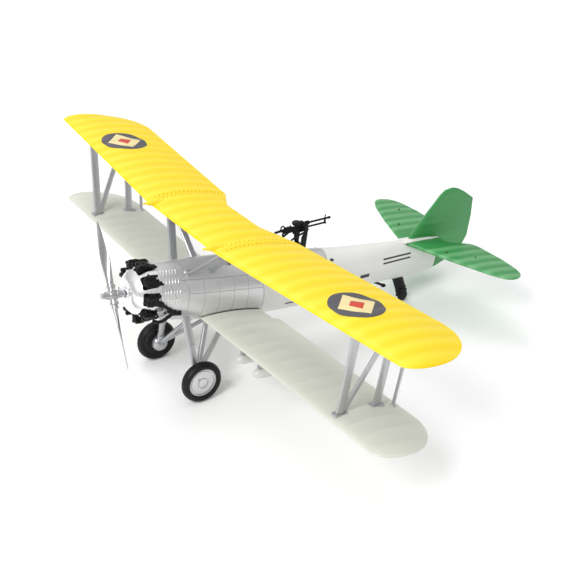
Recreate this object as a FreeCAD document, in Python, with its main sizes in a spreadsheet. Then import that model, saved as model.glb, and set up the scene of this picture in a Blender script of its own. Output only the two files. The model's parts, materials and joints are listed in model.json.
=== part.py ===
import FreeCAD, Part
import math
import os
import Sketcher

# A display model of a two-seat radial-engined biplane, about 1:48, built from separate glued and
# turning pieces.  Everything is drawn in the airframe's own axes: X to port, Y aft, Z up, with the
# thrust line parallel to Y.  Each finished piece is then stood on its three wheels.

os.makedirs("parts", exist_ok=True)
doc = FreeCAD.newDocument("biplane")
sheet = doc.addObject("Spreadsheet::Sheet", "Sizes")
Vec = FreeCAD.Vector

SIZES = {
    # how the airframe stands on its wheels
    "stance_angle": 9.009, "shift_aft": -30.157, "shift_up": 31.033,
    # fuselage shell
    "skin": 0.9, "glue_gap": 0.04, "nose_face": -29.0,
    "front_pit_aft": 4.5, "rear_pit_aft": 21.8, "pit_radius": 4.9, "pit_stretch": 2.4,
    # engine: nine cylinders on a nine-sided crankcase
    "thrust_height": 0.7, "cylinder_count": 9, "first_cylinder_angle": 84.0,
    "case_flat": 5.4, "case_front": -34.8, "case_rear": -28.6, "case_flange": 7.8, "shaft_bore": 0.85,
    "cylinder_aft": -32.7, "barrel_radius": 1.35, "barrel_fin": 1.7, "head_fin": 2.0, "head_start": 6.9,
    "head_end": 9.5, "fin_pitch": 0.5, "rocker_long": 1.5, "rocker_wide": 1.1, "rocker_high": 0.8,
    # nose cowl
    "cowl_eye": 1.5, "cowl_plate": 3.9, "cowl_length": 8.2, "cowl_radius": 8.5,
    "cowl_skin": 0.6, "cowl_shoulder": 5.1, "cowl_bulge": 6.6, "slot_wide": 4.4, "slot_long": 5.6,
    # propeller
    "prop_plane": -41.65, "prop_angle": 35.7, "prop_radius": 23.5, "hub_radius": 1.7, "hub_tip": -45.6,
    "hub_rear": -38.6, "shaft_radius": 0.8, "shaft_end": -30.0,
    # upper wing
    "upper_height": 20.72, "upper_lead": -20.03, "upper_chord": 29.5, "upper_kink": 21.7,
    "upper_sweep": 0.081, "upper_rise": 0.027, "upper_half_span": 103.8, "upper_thick": 0.092,
    "cutout_aft": 2.73, "cutout_half": 9.65, "gun_side": 18.8, "gun_front": -23.2, "gun_radius": 0.95,
    # lower wings
    "lower_height": -8.95, "lower_lead": -13.17, "lower_chord": 24.2, "lower_sweep": 0.010,
    "lower_rise": 0.022, "lower_half_span": 99.3, "lower_thick": 0.10, "lower_root_side": 15.4,
    "lower_root_step": 2.4,
    # struts
    "strut_chord": 2.7, "strut_thick": 1.0, "link_radius": 0.45, "cabane_chord": 3.0,
    # main gear
    "axle_side": 15.04, "axle_aft": -15.56, "axle_height": -26.80, "tyre_radius": 7.0,
    "tyre_section": 1.75, "rim_radius": 4.9, "disc_inner": 13.5, "disc_outer": 16.35,
    "axle_radius": 0.8, "axle_fit": 0.06, "drum_radius": 2.8, "drum_inner": 10.6, "drum_outer": 13.2,
    "leg_chord": 2.5, "leg_thick": 1.7, "rod_radius": 0.6,
    # tail
    "tail_height": 4.46, "tail_thick": 1.5, "fin_thick": 1.6,
    "tail_wheel_aft": 77.7, "tail_wheel_height": -16.925,
    "tail_wheel_radius": 2.15, "tail_wheel_half": 0.8, "tail_pin": 0.4, "tail_pin_fit": 0.05,
    # stores
    "bomb_radius": 1.65, "bomb_length": 11.0, "bomb_front": -11.5, "bomb_height": -13.6,
    "bomb_inner_side": 27.0, "bomb_outer_side": 36.6,
    # rear gun
    "ring_aft": 22.2, "ring_height": 8.0, "ring_radius": 5.7,
    "gun_pivot_aft": 27.4, "gun_pivot_height": 15.6, "gun_slope": 6.4, "barrel_reach": 11.0,
    "bracket_reach": 9.0,
}

# fuselage stations: distance aft, middle height, half width, half height
STATIONS = (
    (-29.0, 0.3, 8.6, 8.8),
    (-17.0, -0.8, 9.2, 9.9),
    (-5.0, -1.6, 9.4, 10.5),
    (10.0, -2.4, 9.2, 10.5),
    (30.0, -2.9, 8.5, 9.7),
    (46.0, -2.7, 7.0, 8.5),
    (61.5, -2.0, 4.9, 7.5),
    (73.0, -1.9, 3.2, 7.4),
    (80.0, -1.8, 2.3, 7.2),
    (89.5, -1.5, 1.1, 6.1),
)
STATION_FIELDS = ("aft", "mid", "wide", "tall")
for number, station in enumerate(STATIONS, 1):
    for field, amount in zip(STATION_FIELDS, station):
        SIZES["station_%d_%s" % (number, field)] = amount

for row, (alias, amount) in enumerate(SIZES.items(), 1):
    sheet.set("A%d" % row, alias)
    sheet.set("B%d" % row, str(amount))
    sheet.setAlias("B%d" % row, alias)
doc.recompute()

nodes = []


def size(alias):
    return float(sheet.get(alias))


STAND = FreeCAD.Placement(
    Vec(0, size("shift_aft"), size("shift_up")),
    FreeCAD.Rotation(Vec(1, 0, 0), -size("stance_angle")))


def turn(axis, degrees):
    return FreeCAD.Rotation(Vec(*axis), degrees)


def place(position, rotation=FreeCAD.Rotation()):
    return FreeCAD.Placement(Vec(*position), rotation)


def node(item, label, local=FreeCAD.Placement()):
    """Name a finished piece, stand it on the ground with the rest and keep it for export."""
    item.Label = label
    item.Placement = STAND.multiply(local)
    nodes.append(item)
    return item


def bind(item, **formulas):
    for name, formula in formulas.items():
        item.setExpression(name.replace("__", "."), formula)


def primitive(kind, name, local=FreeCAD.Placement(), **formulas):
    item = doc.addObject("Part::" + kind, name)
    item.Placement = local
    bind(item, **formulas)
    return item


def block(name, low, high):
    """A plain box between two corners."""
    item = doc.addObject("Part::Box", name)
    item.Length, item.Width, item.Height = [b - a for a, b in zip(low, high)]
    item.Placement = place(low)
    return item


def fuse(name, pieces):
    item = doc.addObject("Part::MultiFuse", name)
    item.Shapes = pieces
    return item


def cut(name, base, tool):
    item = doc.addObject("Part::Cut", name)
    item.Base = base
    item.Tool = tool
    return item


def trim(name, base, tools):
    """Cut several shapes away in turn."""
    for number, tool in enumerate(tools, 1):
        base = cut("%s_trim_%d" % (name, number), base, tool)
    return base


def shaped(name, shape):
    item = doc.addObject("Part::Feature", name)
    item.Shape = shape
    return item


def bar(name, start, end, chord, thick, lead=Vec(0, 1, 0)):
    """A streamlined bar of elliptical section from start to end, long way along lead."""
    start, end = Vec(*start), Vec(*end)
    along = end - start
    ellipse = doc.addObject("Part::Ellipse", name + "_section")
    bind(ellipse, MajorRadius=chord, MinorRadius=thick)
    side = lead - along * (lead.dot(along) / along.dot(along))
    ellipse.Placement = FreeCAD.Placement(start, FreeCAD.Rotation(side, Vec(), along, "ZXY"))
    item = doc.addObject("Part::Extrusion", name)
    item.Base = ellipse
    item.DirMode = "Custom"
    item.Dir = along
    item.LengthFwd = along.Length
    item.Solid = True
    return item


def rod(name, start, end, radius):
    start, end = Vec(*start), Vec(*end)
    along = end - start
    item = doc.addObject("Part::Cylinder", name)
    item.Height = along.Length
    item.Placement = FreeCAD.Placement(start, FreeCAD.Rotation(Vec(0, 0, 1), along))
    bind(item, Radius=radius)
    return item


def plane_of(body, role):
    return [item for item in body.Origin.OriginFeatures if item.Role == role][0]


def profile(body, name, corners):
    """A closed sketch on the body's XY plane.  A corner is (x, y) in sheet formulas; a third item
    (x, y of a middle point) makes the edge from that corner to the next one an arc."""
    sketch = body.newObject("Sketcher::SketchObject", name)
    sketch.AttachmentSupport = [(plane_of(body, "XY_Plane"), "")]
    sketch.MapMode = "FlatFace"
    spots = [(number_of(c[0]), number_of(c[1])) for c in corners]
    for index, corner in enumerate(corners):
        here, there = spots[index], spots[(index + 1) % len(spots)]
        if len(corner) == 3:
            middle = Vec(number_of(corner[2][0]), number_of(corner[2][1]), 0)
            sketch.addGeometry(bend(here, middle, there))
        else:
            sketch.addGeometry(Part.LineSegment(Vec(*here, 0), Vec(*there, 0)))
    join_corners(sketch, spots)
    for index, corner in enumerate(corners):
        pin_corner(sketch, index, end_at(sketch, index, spots[index]), corner, spots[index])
        if len(corner) == 3:
            arc = sketch.Geometry[index]
            sketch.addConstraint(Sketcher.Constraint("Radius", index, arc.Radius))
    return sketch


def bend(here, middle, there):
    """An arc from one spot to another by way of a middle point, anticlockwise as sketches keep it."""
    centre = Part.Arc(Vec(*here, 0), middle, Vec(*there, 0)).toShape().Curve.Center
    angles = [math.atan2(y - centre.y, x - centre.x) for x, y in (here, (middle.x, middle.y), there)]
    start, inside, end = angles
    if (inside - start) % (2 * math.pi) > (end - start) % (2 * math.pi):
        start, end = end, start
    end = start + (end - start) % (2 * math.pi)
    circle = Part.Circle(centre, Vec(0, 0, 1), (middle - centre).Length)
    return Part.ArcOfCircle(circle, start, end)


def number_of(formula):
    """The value of a small sheet formula such as 'rim_radius - skin'."""
    total, sign = 0.0, 1.0
    for word in formula.split():
        if word in "+-":
            sign = 1.0 if word == "+" else -1.0
        elif word[0].isdigit():
            total += sign * float(word)
        else:
            total += sign * size(word.replace("Sizes.", ""))
    return total


def formula_text(formula):
    """The same formula with the sheet's name put in front of each alias."""
    words = []
    for word in formula.split():
        plain = word in "+-" or word[0].isdigit()
        words.append(word if plain else "Sizes." + word)
    return " ".join(words)


def end_at(sketch, index, spot):
    """Which end of an edge lies at a spot: 1 for its start, 2 for its end."""
    start = sketch.Geometry[index].StartPoint
    near = abs(start.x - spot[0]) < 1e-6 and abs(start.y - spot[1]) < 1e-6
    return 1 if near else 2


def join_corners(sketch, spots):
    for index in range(len(spots)):
        after = (index + 1) % len(spots)
        first = end_at(sketch, index, spots[after])
        second = end_at(sketch, after, spots[after])
        sketch.addConstraint(Sketcher.Constraint("Coincident", index, first, after, second))


def pin_corner(sketch, index, end, corner, spot):
    for kind, axis, amount, formula in (("DistanceX", -2, spot[0], corner[0]),
                                        ("DistanceY", -1, spot[1], corner[1])):
        if abs(amount) < 1e-9:
            sketch.addConstraint(Sketcher.Constraint("PointOnObject", index, end, axis))
            continue
        sketch.addConstraint(Sketcher.Constraint(kind, -1, 1, index, end, amount))
        tag = "%s_%s_%d" % (sketch.Name, kind[-1], index)
        sketch.renameConstraint(sketch.ConstraintCount - 1, tag)
        sketch.setExpression("Constraints." + tag, formula_text(formula))


def turned(name, corners):
    """A body turned about its own Y axis from a profile of (radius, distance along) corners."""
    body = doc.addObject("PartDesign::Body", name)
    sketch = profile(body, name + "_profile", corners)
    spin = body.newObject("PartDesign::Revolution", name + "_turned")
    spin.Profile = sketch
    spin.ReferenceAxis = (sketch, ["V_Axis"])
    spin.Angle = 360.0
    body.Tip = spin
    return body


def airfoil_wire(side, lead, trail, height, ratio):
    """A flat-bottomed wing section at a distance out from the centre line."""
    chord = trail - lead
    top, bottom = [], []
    steps = 9
    for step in range(steps + 1):
        part = 0.5 * (1 - math.cos(math.pi * step / steps))
        half = 5 * ratio * chord * (0.2969 * math.sqrt(part) - 0.1260 * part - 0.3516 * part ** 2
                                    + 0.2843 * part ** 3 - 0.1036 * part ** 4)
        camber = 0.4 * ratio * chord * 4 * part * (1 - part)
        top.append(Vec(side, lead + part * chord, height + camber + half))
        bottom.append(Vec(side, lead + part * chord, height + 0.55 * camber - 0.75 * half))
    upper, lower = Part.BSplineCurve(), Part.BSplineCurve()
    upper.interpolate(top)
    lower.interpolate([top[0]] + bottom[1:-1] + [top[-1]])
    return Part.Wire([upper.toShape(), lower.toShape()])


def tip_curve(place_out, start, end):
    """How far a rounded tip has closed in, 0 at its start and 1 at the very end."""
    if place_out <= start:
        return 0.0
    return 1.0 - math.sqrt(max(0.0, 1.0 - ((place_out - start) / (end - start)) ** 2))


def wing_edges(out, which):
    """Leading and trailing edge of a wing at a distance out from the centre line."""
    half_span = size(which + "_half_span")
    kink = size("upper_kink") if which == "upper" else 0.0
    shift = size(which + "_sweep") * max(0.0, out - kink)
    lead = size(which + "_lead") + shift
    trail = lead + size(which + "_chord")
    chord = trail - lead
    front_share, rear_start, front_start = ((0.29, 20.0, 4.0) if which == "upper" else (0.38, 16.0, 5.0))
    lead += front_share * chord * tip_curve(out, half_span - front_start, half_span)
    trail -= (1 - front_share) * chord * tip_curve(out, half_span - rear_start, half_span)
    return lead, trail


def wing_half(which, side, start):
    """One wing panel from its root to its rounded tip."""
    half_span = size(which + "_half_span")
    kink = size("upper_kink") if which == "upper" else 0.0
    tips = [half_span - gap for gap in (19.0, 13.0, 8.5, 5.0, 2.8, 1.3, 0.4, 0.06)]
    wires = []
    for out in [start] + tips:
        lead, trail = wing_edges(out, which)
        height = size(which + "_height") + size(which + "_rise") * max(0.0, out - kink)
        wires.append(airfoil_wire(side * out, lead, trail, height, size(which + "_thick")))
    return Part.makeLoft(wires, True, True)


def outline_solid(points, thick, plane):
    """A flat plate with a rounded outline; plane 'flat' lies level, 'upright' on the centre line."""
    curve = Part.BSplineCurve()
    if plane == "flat":
        spots = [Vec(a, b, -thick / 2) for a, b in points]
        way = Vec(0, 0, thick)
    else:
        spots = [Vec(-thick / 2, a, b) for a, b in points]
        way = Vec(thick, 0, 0)
    curve.interpolate(spots)
    edge = curve.toShape()
    closing = Part.makeLine(spots[-1], spots[0])
    return Part.Face(Part.Wire([edge, closing])).extrude(way)


# ---------------------------------------------------------------- fuselage
def station_loft(name, inward, first, last):
    """A loft through the elliptical fuselage stations, set in by a wall thickness."""
    rings = []
    for number in range(first, last + 1):
        ring = doc.addObject("Part::Ellipse", "%s_ring_%d" % (name, number))
        prefix = "Sizes.station_%d_" % number
        bind(ring, MajorRadius=prefix + "tall - " + inward, MinorRadius=prefix + "wide - " + inward)
        upright = FreeCAD.Rotation(Vec(0, 0, 1), Vec(1, 0, 0), Vec(0, -1, 0), "ZXY")
        ring.Placement = place((0, 0, 0), upright)
        bind(ring, Placement__Base__y=prefix + "aft", Placement__Base__z=prefix + "mid")
        rings.append(ring)
    loft = doc.addObject("Part::Loft", name)
    loft.Sections = rings
    loft.Solid = True
    return loft


def pit_opening(name, aft):
    """A round-ended cockpit opening, cut down from above."""
    ends = []
    for number, sign in enumerate(("-", "+")):
        end = primitive("Cylinder", "%s_end_%d" % (name, number), place((0, 0, 1.2)),
                        Radius="Sizes.pit_radius", Height="10",
                        Placement__Base__y="Sizes.%s %s Sizes.pit_stretch" % (aft, sign))
        ends.append(end)
    middle = primitive("Box", name + "_middle", place((0, 0, 1.2)), Length="Sizes.pit_radius * 2",
                       Width="Sizes.pit_stretch * 2", Height="10",
                       Placement__Base__x="-Sizes.pit_radius",
                       Placement__Base__y="Sizes.%s - Sizes.pit_stretch" % aft)
    return fuse(name, ends + [middle])


fuselage_outside = station_loft("fuselage_outside", "0", 1, len(STATIONS))
fuselage_inside = station_loft("fuselage_inside", "Sizes.skin", 1, len(STATIONS) - 1)
nose_mouth = primitive("Cylinder", "nose_mouth", place((0, -29.5, 0.3), turn((1, 0, 0), -90)),
                       Radius="Sizes.station_1_wide - Sizes.skin", Height="1")
front_pit = pit_opening("front_pit", "front_pit_aft")
rear_pit = pit_opening("rear_pit", "rear_pit_aft")
tail_seat = block("tail_seat", (-6, 73.4, size("tail_height") - size("tail_thick") / 2), (6, 95, 9))
for side_name, low in (("left", -30.0), ("right", 0.0)):
    other_side = block("beyond_" + side_name, (low, -60, -40), (low + 30, 120, 40))
    shell = trim("fuselage_" + side_name, fuselage_outside,
                 [fuselage_inside, nose_mouth, front_pit, rear_pit, tail_seat, other_side])
    node(shell, "fuselage_%s_half" % side_name)

# ---------------------------------------------------------------- wings
upper_blank = shaped("upper_blank", wing_half("upper", 1, size("upper_kink")).fuse(
    [wing_half("upper", -1, size("upper_kink")),
     Part.makeLoft([airfoil_wire(side * size("upper_kink"), *wing_edges(0, "upper"),
                                 size("upper_height"), size("upper_thick")) for side in (-1, 1)],
                   True, True)]))
outer_trail = size("upper_lead") + size("upper_chord") + 0.2
notch_corners = [Vec(x, y, 10) for x, y in (
    (-size("cutout_half"), size("cutout_aft")), (size("cutout_half"), size("cutout_aft")),
    (size("upper_kink"), outer_trail), (size("upper_kink"), outer_trail + 5),
    (-size("upper_kink"), outer_trail + 5), (-size("upper_kink"), outer_trail),
    (-size("cutout_half"), size("cutout_aft")))]
notch = shaped("upper_notch", Part.Face(Part.makePolygon(notch_corners)).extrude(Vec(0, 0, 20)))
gun_channels = []
for sign in (1, -1):
    channel = rod("gun_channel_%d" % (sign + 2), (sign * size("gun_side"), -24, size("upper_height") + 0.9),
                  (sign * size("gun_side"), -12, size("upper_height") + 0.9), "Sizes.gun_radius")
    gun_channels.append(channel)
node(trim("upper_wing", upper_blank, [notch] + gun_channels), "upper_wing")
for sign, side_name in ((1, "left"), (-1, "right")):
    fairing = rod("gun_fairing_" + side_name,
                  (sign * size("gun_side"), size("gun_front"), size("upper_height") + 0.9),
                  (sign * size("gun_side"), -12, size("upper_height") + 0.9), "Sizes.gun_radius")
    node(fairing, "wing_gun_fairing_" + side_name, fairing.Placement)

lower_blanks = {}
for sign, side_name in ((1, "left"), (-1, "right")):
    blank = shaped("lower_blank_" + side_name, wing_half("lower", sign, 4.0))
    lower_blanks[side_name] = blank
    root_side = sign * size("lower_root_side")
    root_trail = wing_edges(0, "lower")[1]
    root_low = (min(0, root_side), root_trail - size("lower_root_step"), -14)
    root_high = (max(0, root_side), root_trail + 1, -4)
    root_step = block("root_step_" + side_name, root_low, root_high)
    node(trim("lower_wing_" + side_name, blank, [fuselage_outside, root_step]), "lower_wing_" + side_name)


# ---------------------------------------------------------------- struts between the wings
def mirrored(sign, spot):
    return (sign * spot[0], spot[1], spot[2])


for sign, side_name in ((1, "left"), (-1, "right")):
    feet = {"front": (75.9, -9.1, -7.1), "rear": (75.9, 3.7, -7.0), "link": (76.8, 9.4, -7.1)}
    heads = {"front": (79.8, -11.4, 22.9), "rear": (79.8, 1.7, 22.9), "link": (80.7, 7.6, 22.6)}
    pieces = [bar("strut_%s_%s" % (end, side_name), mirrored(sign, feet[end]), mirrored(sign, heads[end]),
                  "Sizes.strut_chord / 2", "Sizes.strut_thick / 2") for end in ("front", "rear")]
    pieces.append(bar("strut_slant_" + side_name, mirrored(sign, (75.95, -8.6, -6.4)),
                      mirrored(sign, (79.7, 0.9, 21.6)), "Sizes.strut_chord * 0.4",
                      "Sizes.strut_thick * 0.42"))
    whole = fuse("interplane_fused_" + side_name, pieces)
    node(trim("interplane_" + side_name, whole, [upper_blank, lower_blanks[side_name]]),
         "interplane_strut_" + side_name)
    link = rod("aileron_rod_" + side_name, mirrored(sign, feet["link"]), mirrored(sign, heads["link"]),
               "Sizes.link_radius")
    node(trim("aileron_link_" + side_name, link, [upper_blank, lower_blanks[side_name]]),
         "aileron_link_" + side_name)
    cabane_tools = [upper_blank, fuselage_outside]
    for end, foot, head, chord in (
            ("front", (4.6, -18.4, 6.2), (19.3, -13.0, 20.9), "Sizes.cabane_chord / 2"),
            ("rear", (4.6, -10.2, 5.6), (19.9, -12.0, 20.9), "Sizes.cabane_chord * 0.42")):
        brace = bar("cabane_bar_%s_%s" % (end, side_name), mirrored(sign, foot), mirrored(sign, head),
                    chord, "Sizes.strut_thick / 2")
        node(trim("cabane_%s_%s" % (end, side_name), brace, cabane_tools),
             "cabane_strut_%s_%s" % (end, side_name))
        cabane_tools = cabane_tools + [brace]

# ---------------------------------------------------------------- engine
case = doc.addObject("PartDesign::Body", "crankcase")
case_sketch = case.newObject("Sketcher::SketchObject", "case_outline")
case_sketch.AttachmentSupport = [(plane_of(case, "XZ_Plane"), "")]
case_sketch.MapMode = "FlatFace"
count = int(size("cylinder_count"))
corner_radius = size("case_flat") / math.cos(math.pi / count)
rim = [Vec(corner_radius * math.cos(a), corner_radius * math.sin(a), 0)
       for a in (math.radians(size("first_cylinder_angle") + 180.0 / count + k * 360.0 / count)
                 for k in range(count))]
for k in range(count):
    case_sketch.addGeometry(Part.LineSegment(rim[k], rim[(k + 1) % count]))
for k in range(count):
    case_sketch.addConstraint(Sketcher.Constraint("Coincident", k, 2, (k + 1) % count, 1))
case_pad = case.newObject("PartDesign::Pad", "case_drum")
case_pad.Profile = case_sketch
case_pad.Reversed = True
bind(case_pad, Length="Sizes.case_rear - Sizes.case_front")
flange = case.newObject("PartDesign::AdditiveCylinder", "case_flange")
flange.Placement = place((0, size("case_rear") - size("case_front") - 1.0, 0), turn((1, 0, 0), -90))
bind(flange, Radius="Sizes.case_flange - 0.3", Height="0.9")
bore = case.newObject("PartDesign::SubtractiveCylinder", "case_bore")
bore.Placement = place((0, -1, 0), turn((1, 0, 0), -90))
bind(bore, Radius="Sizes.shaft_bore", Height="Sizes.shaft_end - Sizes.case_front + 1.1")
case.Tip = bore
node(case, "crankcase", place((0, size("case_front"), size("thrust_height"))))


def cylinder_corners():
    """Half outline of one finned cylinder, from its base up to its head."""
    corners = [("0", "0"), ("1.6", "0"), ("1.6", "0.4"), ("barrel_radius", "0.4")]
    rise = 0.6
    while rise < size("head_end") - size("case_flat") - 0.6:
        wide = "barrel_fin" if rise < size("head_start") - size("case_flat") else "head_fin"
        corners += [("barrel_radius", "%.2f" % rise), (wide, "%.2f" % rise),
                    (wide, "%.2f" % (rise + 0.25)), ("barrel_radius", "%.2f" % (rise + 0.25))]
        rise += size("fin_pitch")
    top = "%.2f" % (size("head_end") - size("case_flat"))
    corners += [("barrel_radius", "%.2f" % rise), ("head_fin", "%.2f" % rise),
                ("head_fin", "%.2f" % (rise + 0.2)), ("barrel_radius", top), ("0", top)]
    return corners


for k in range(count):
    cylinder = turned("cylinder_%d" % (k + 1), cylinder_corners())
    for number, offset in enumerate((-1.35, 0.25)):
        rocker = cylinder.newObject("PartDesign::AdditiveBox", "rocker_%d_%d" % (k + 1, number))
        rocker.Placement = place((-0.75, size("head_end") - size("case_flat") - 0.35, offset))
        bind(rocker, Length="Sizes.rocker_long", Width="Sizes.rocker_high", Height="Sizes.rocker_wide")
        cylinder.Tip = rocker
    angle = size("first_cylinder_angle") + k * 360.0 / count
    swing = turn((0, 1, 0), -(angle - 90.0)).multiply(turn((1, 0, 0), 90))
    outward = Vec(math.cos(math.radians(angle)), 0, math.sin(math.radians(angle)))
    seat = Vec(0, size("cylinder_aft"), size("thrust_height")) + outward * size("case_flat")
    node(cylinder, "cylinder_%d" % (k + 1), FreeCAD.Placement(seat, swing))

cowl = turned("nose_cowl", [
    ("cowl_eye", "0"), ("cowl_plate", "0", ("cowl_bulge", "1.75")),
    ("cowl_radius", "cowl_shoulder"), ("cowl_radius + 0.1", "cowl_length"),
    ("cowl_radius - cowl_skin", "cowl_length"), ("cowl_radius - cowl_skin", "cowl_shoulder + 0.2",
                                                 ("cowl_bulge - cowl_skin", "2.25")),
    ("cowl_plate - 0.3", "cowl_skin"), ("cowl_eye", "cowl_skin")])
slot = cowl.newObject("PartDesign::SubtractiveBox", "cylinder_slot")
slot.Placement = place((-size("slot_wide") / 2, 1.9, 3.0))
bind(slot, Length="Sizes.slot_wide", Width="Sizes.slot_long", Height="8")
spread = cowl.newObject("PartDesign::PolarPattern", "cylinder_slots")
spread.Originals = [slot]
spread.Axis = (plane_of(cowl, "Y_Axis"), [""])
spread.Angle = 360.0
bind(spread, Occurrences="Sizes.cylinder_count")
cowl.Tip = spread
cowl_start = size("nose_face") - size("cowl_length")
node(cowl, "nose_cowl", place((0, cowl_start, size("thrust_height")),
                              turn((0, 1, 0), 90.0 - size("first_cylinder_angle"))))

for sign, side_name in ((1, "left"), (-1, "right")):
    route = [(8.7, -28.4, -3.4), (8.3, -26.6, -5.9), (7.9, -24.0, -6.9), (7.7, -19.8, -7.1)]
    turns = [mirrored(sign, spot) for spot in route]
    runs = [rod("exhaust_run_%s_%d" % (side_name, k), turns[k], turns[k + 1], "0.75") for k in range(3)]
    bends = []
    for k in (1, 2):
        ball = doc.addObject("Part::Sphere", "exhaust_bend_%s_%d" % (side_name, k))
        ball.Radius = 0.75
        ball.Placement = place(turns[k])
        bends.append(ball)
    pipe = fuse("exhaust_fused_" + side_name, runs + bends)
    keep_out = primitive("Cylinder", "exhaust_clear_" + side_name,
                         place((0, -42, 0.7), turn((1, 0, 0), -90)), Radius="Sizes.cowl_radius + 0.15",
                         Height="13.2")
    node(trim("exhaust_" + side_name, pipe, [fuselage_outside, keep_out]), "exhaust_pipe_" + side_name)

# ---------------------------------------------------------------- propeller
hub = turned("propeller_hub", [
    ("0", "0"), ("0.55", "0"), ("0.8", "0.5"), ("0.8", "1.3"), ("1.2", "1.6"), ("1.2", "2.3"),
    ("hub_radius", "2.7"), ("hub_radius", "5.2"), ("1.2", "5.7"), ("1.2", "hub_rear - hub_tip"),
    ("shaft_radius", "hub_rear - hub_tip"), ("shaft_radius", "shaft_end - hub_tip"),
    ("0", "shaft_end - hub_tip")])
node(hub, "propeller_hub", place((0, size("hub_tip"), size("thrust_height"))))

# distance out, half chord, half thickness, blade angle to the plane of rotation
BLADE = ((1.9, 1.0, 0.95, 60.0), (4.2, 1.05, 0.85, 50.0), (7.0, 1.45, 0.5, 40.0), (12.0, 1.75, 0.34, 27.0),
         (17.0, 1.6, 0.26, 20.0), (21.0, 1.15, 0.18, 17.0), (23.2, 0.5, 0.12, 15.0))


def blade_section(out, half_chord, half_thick, pitch):
    """One lens-shaped blade section, in two edges that meet at the front and back of the chord."""
    edges = []
    for face in (1, -1):
        curve = Part.BSplineCurve()
        curve.interpolate([Vec(-half_chord * math.cos(a), face * half_thick * math.sin(a), 0)
                           for a in (math.pi * step / 8 for step in range(9))])
        edges.append(curve.toShape())
    section = Part.Wire(edges)
    section.Placement = place((0, 0, out), turn((0, 0, 1), pitch))
    return section


stretch = size("prop_radius") / 23.4
for number, flip in ((1, 0.0), (2, 180.0)):
    sections = [blade_section(out * stretch, *section) for out, *section in BLADE]
    blade = shaped("blade_%d" % number, Part.makeLoft(sections, True, False))
    lean = turn((0, 1, 0), -size("prop_angle") + flip)
    node(blade, "propeller_blade_%d" % number,
         place((0, size("prop_plane"), size("thrust_height")), lean))

# ---------------------------------------------------------------- main landing gear
for sign, side_name in ((1, "left"), (-1, "right")):
    axle = (size("axle_side"), size("axle_aft"), size("axle_height"))
    drum_centre = (11.9, axle[1], axle[2])
    drum = turned("drum_" + side_name, [
        ("0", "0"), ("drum_radius - 1", "0"), ("drum_radius", "0.9"),
        ("drum_radius", "drum_outer - drum_inner"), ("axle_radius", "drum_outer - drum_inner"),
        ("axle_radius", "disc_outer - drum_inner - 0.5"), ("0", "disc_outer - drum_inner - 0.5")])
    outward = turn((0, 0, 1), -90.0 * sign)
    drum.Placement = place((sign * size("drum_inner"), axle[1], axle[2]), outward)
    drum_blank = rod("drum_blank_" + side_name, (sign * size("drum_inner"), axle[1], axle[2]),
                     (sign * size("drum_outer"), axle[1], axle[2]), "Sizes.drum_radius")
    leg = bar("leg_bar_" + side_name, mirrored(sign, (5.8, -18.85, -5.2)),
              mirrored(sign, (12.1, -16.0, -24.9)), "Sizes.leg_chord / 2", "Sizes.leg_thick / 2")
    collar = rod("leg_collar_" + side_name, mirrored(sign, (9.55, -17.25, -16.6)),
                 mirrored(sign, (9.85, -17.1, -17.4)), "1.35")
    node(trim("leg_" + side_name, fuse("leg_fused_" + side_name, [leg, collar]),
              [fuselage_outside, drum_blank]), "gear_leg_" + side_name)
    rods = [rod("rod_front_" + side_name, mirrored(sign, (1.6, -7.7, -9.6)), mirrored(sign, drum_centre),
                "Sizes.rod_radius"),
            rod("rod_rear_" + side_name, mirrored(sign, (0.9, 1.6, -10.4)), mirrored(sign, drum_centre),
                "Sizes.rod_radius")]
    vee = fuse("vee_fused_" + side_name, rods + [drum])
    inboard = -8 if sign > 0 else 0
    middle = block("vee_middle_" + side_name, (inboard, -30, -30), (inboard + 8, 30, 10))
    node(trim("vee_" + side_name, vee, [fuselage_outside, leg, middle]), "gear_radius_rods_" + side_name)

    disc = turned("disc_" + side_name, [
        ("axle_radius + axle_fit", "0"), ("rim_radius", "0"),
        ("rim_radius", "disc_outer - disc_inner - 0.5"),
        ("rim_radius - 0.5", "disc_outer - disc_inner - 0.3"), ("1.0", "disc_outer - disc_inner"),
        ("0", "disc_outer - disc_inner"), ("0", "disc_outer - disc_inner - 0.4"),
        ("axle_radius + axle_fit", "disc_outer - disc_inner - 0.4")])
    node(disc, "wheel_disc_" + side_name, place((sign * size("disc_inner"), axle[1], axle[2]), outward))
    tyre = turned("tyre_" + side_name, [
        ("rim_radius", "0.35"), ("tyre_radius - 0.9", "0.1", ("tyre_radius", "tyre_section")),
        ("tyre_radius - 0.9", "tyre_section + tyre_section - 0.1"),
        ("rim_radius", "tyre_section + tyre_section - 0.35")])
    node(tyre, "tyre_" + side_name,
         place((sign * (axle[0] - size("tyre_section")), axle[1], axle[2]), outward))

# ---------------------------------------------------------------- tail
tail_side = [(4.2, 89.8), (6.4, 92.5), (8.6, 97.4), (12, 99.1), (24, 99.6), (32, 98.8), (37.0, 96.4),
             (38.3, 92.0), (36.5, 88.6), (32, 85.6), (20, 80.2), (8, 75.6), (2.5, 73.7)]
tail_outline = tail_side + [(-x, y) for x, y in reversed(tail_side)]
tail_plate = outline_solid(tail_outline, size("tail_thick"), "flat")
tail_level = place((0, 0, size("tail_height")))
tail_blank = shaped("tail_blank", tail_plate)
tail_blank.Placement = tail_level
fin_outline = [(74.4, 4.2), (77.7, 9.4), (81.3, 14.2), (86.7, 21.2), (92.2, 23.7), (98.2, 21.9),
               (103.2, 19.0), (104.0, 12.0), (103.9, 4.0), (101.6, -0.8), (94.4, -5.2), (89.8, -7.2)]
fin_blank = shaped("fin_blank", outline_solid(fin_outline, size("fin_thick"), "upright"))
fuselage_body = cut("fuselage_body", fuselage_outside, tail_seat)
node(trim("fin", fin_blank, [fuselage_body, tail_blank]), "fin_and_rudder")
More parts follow.
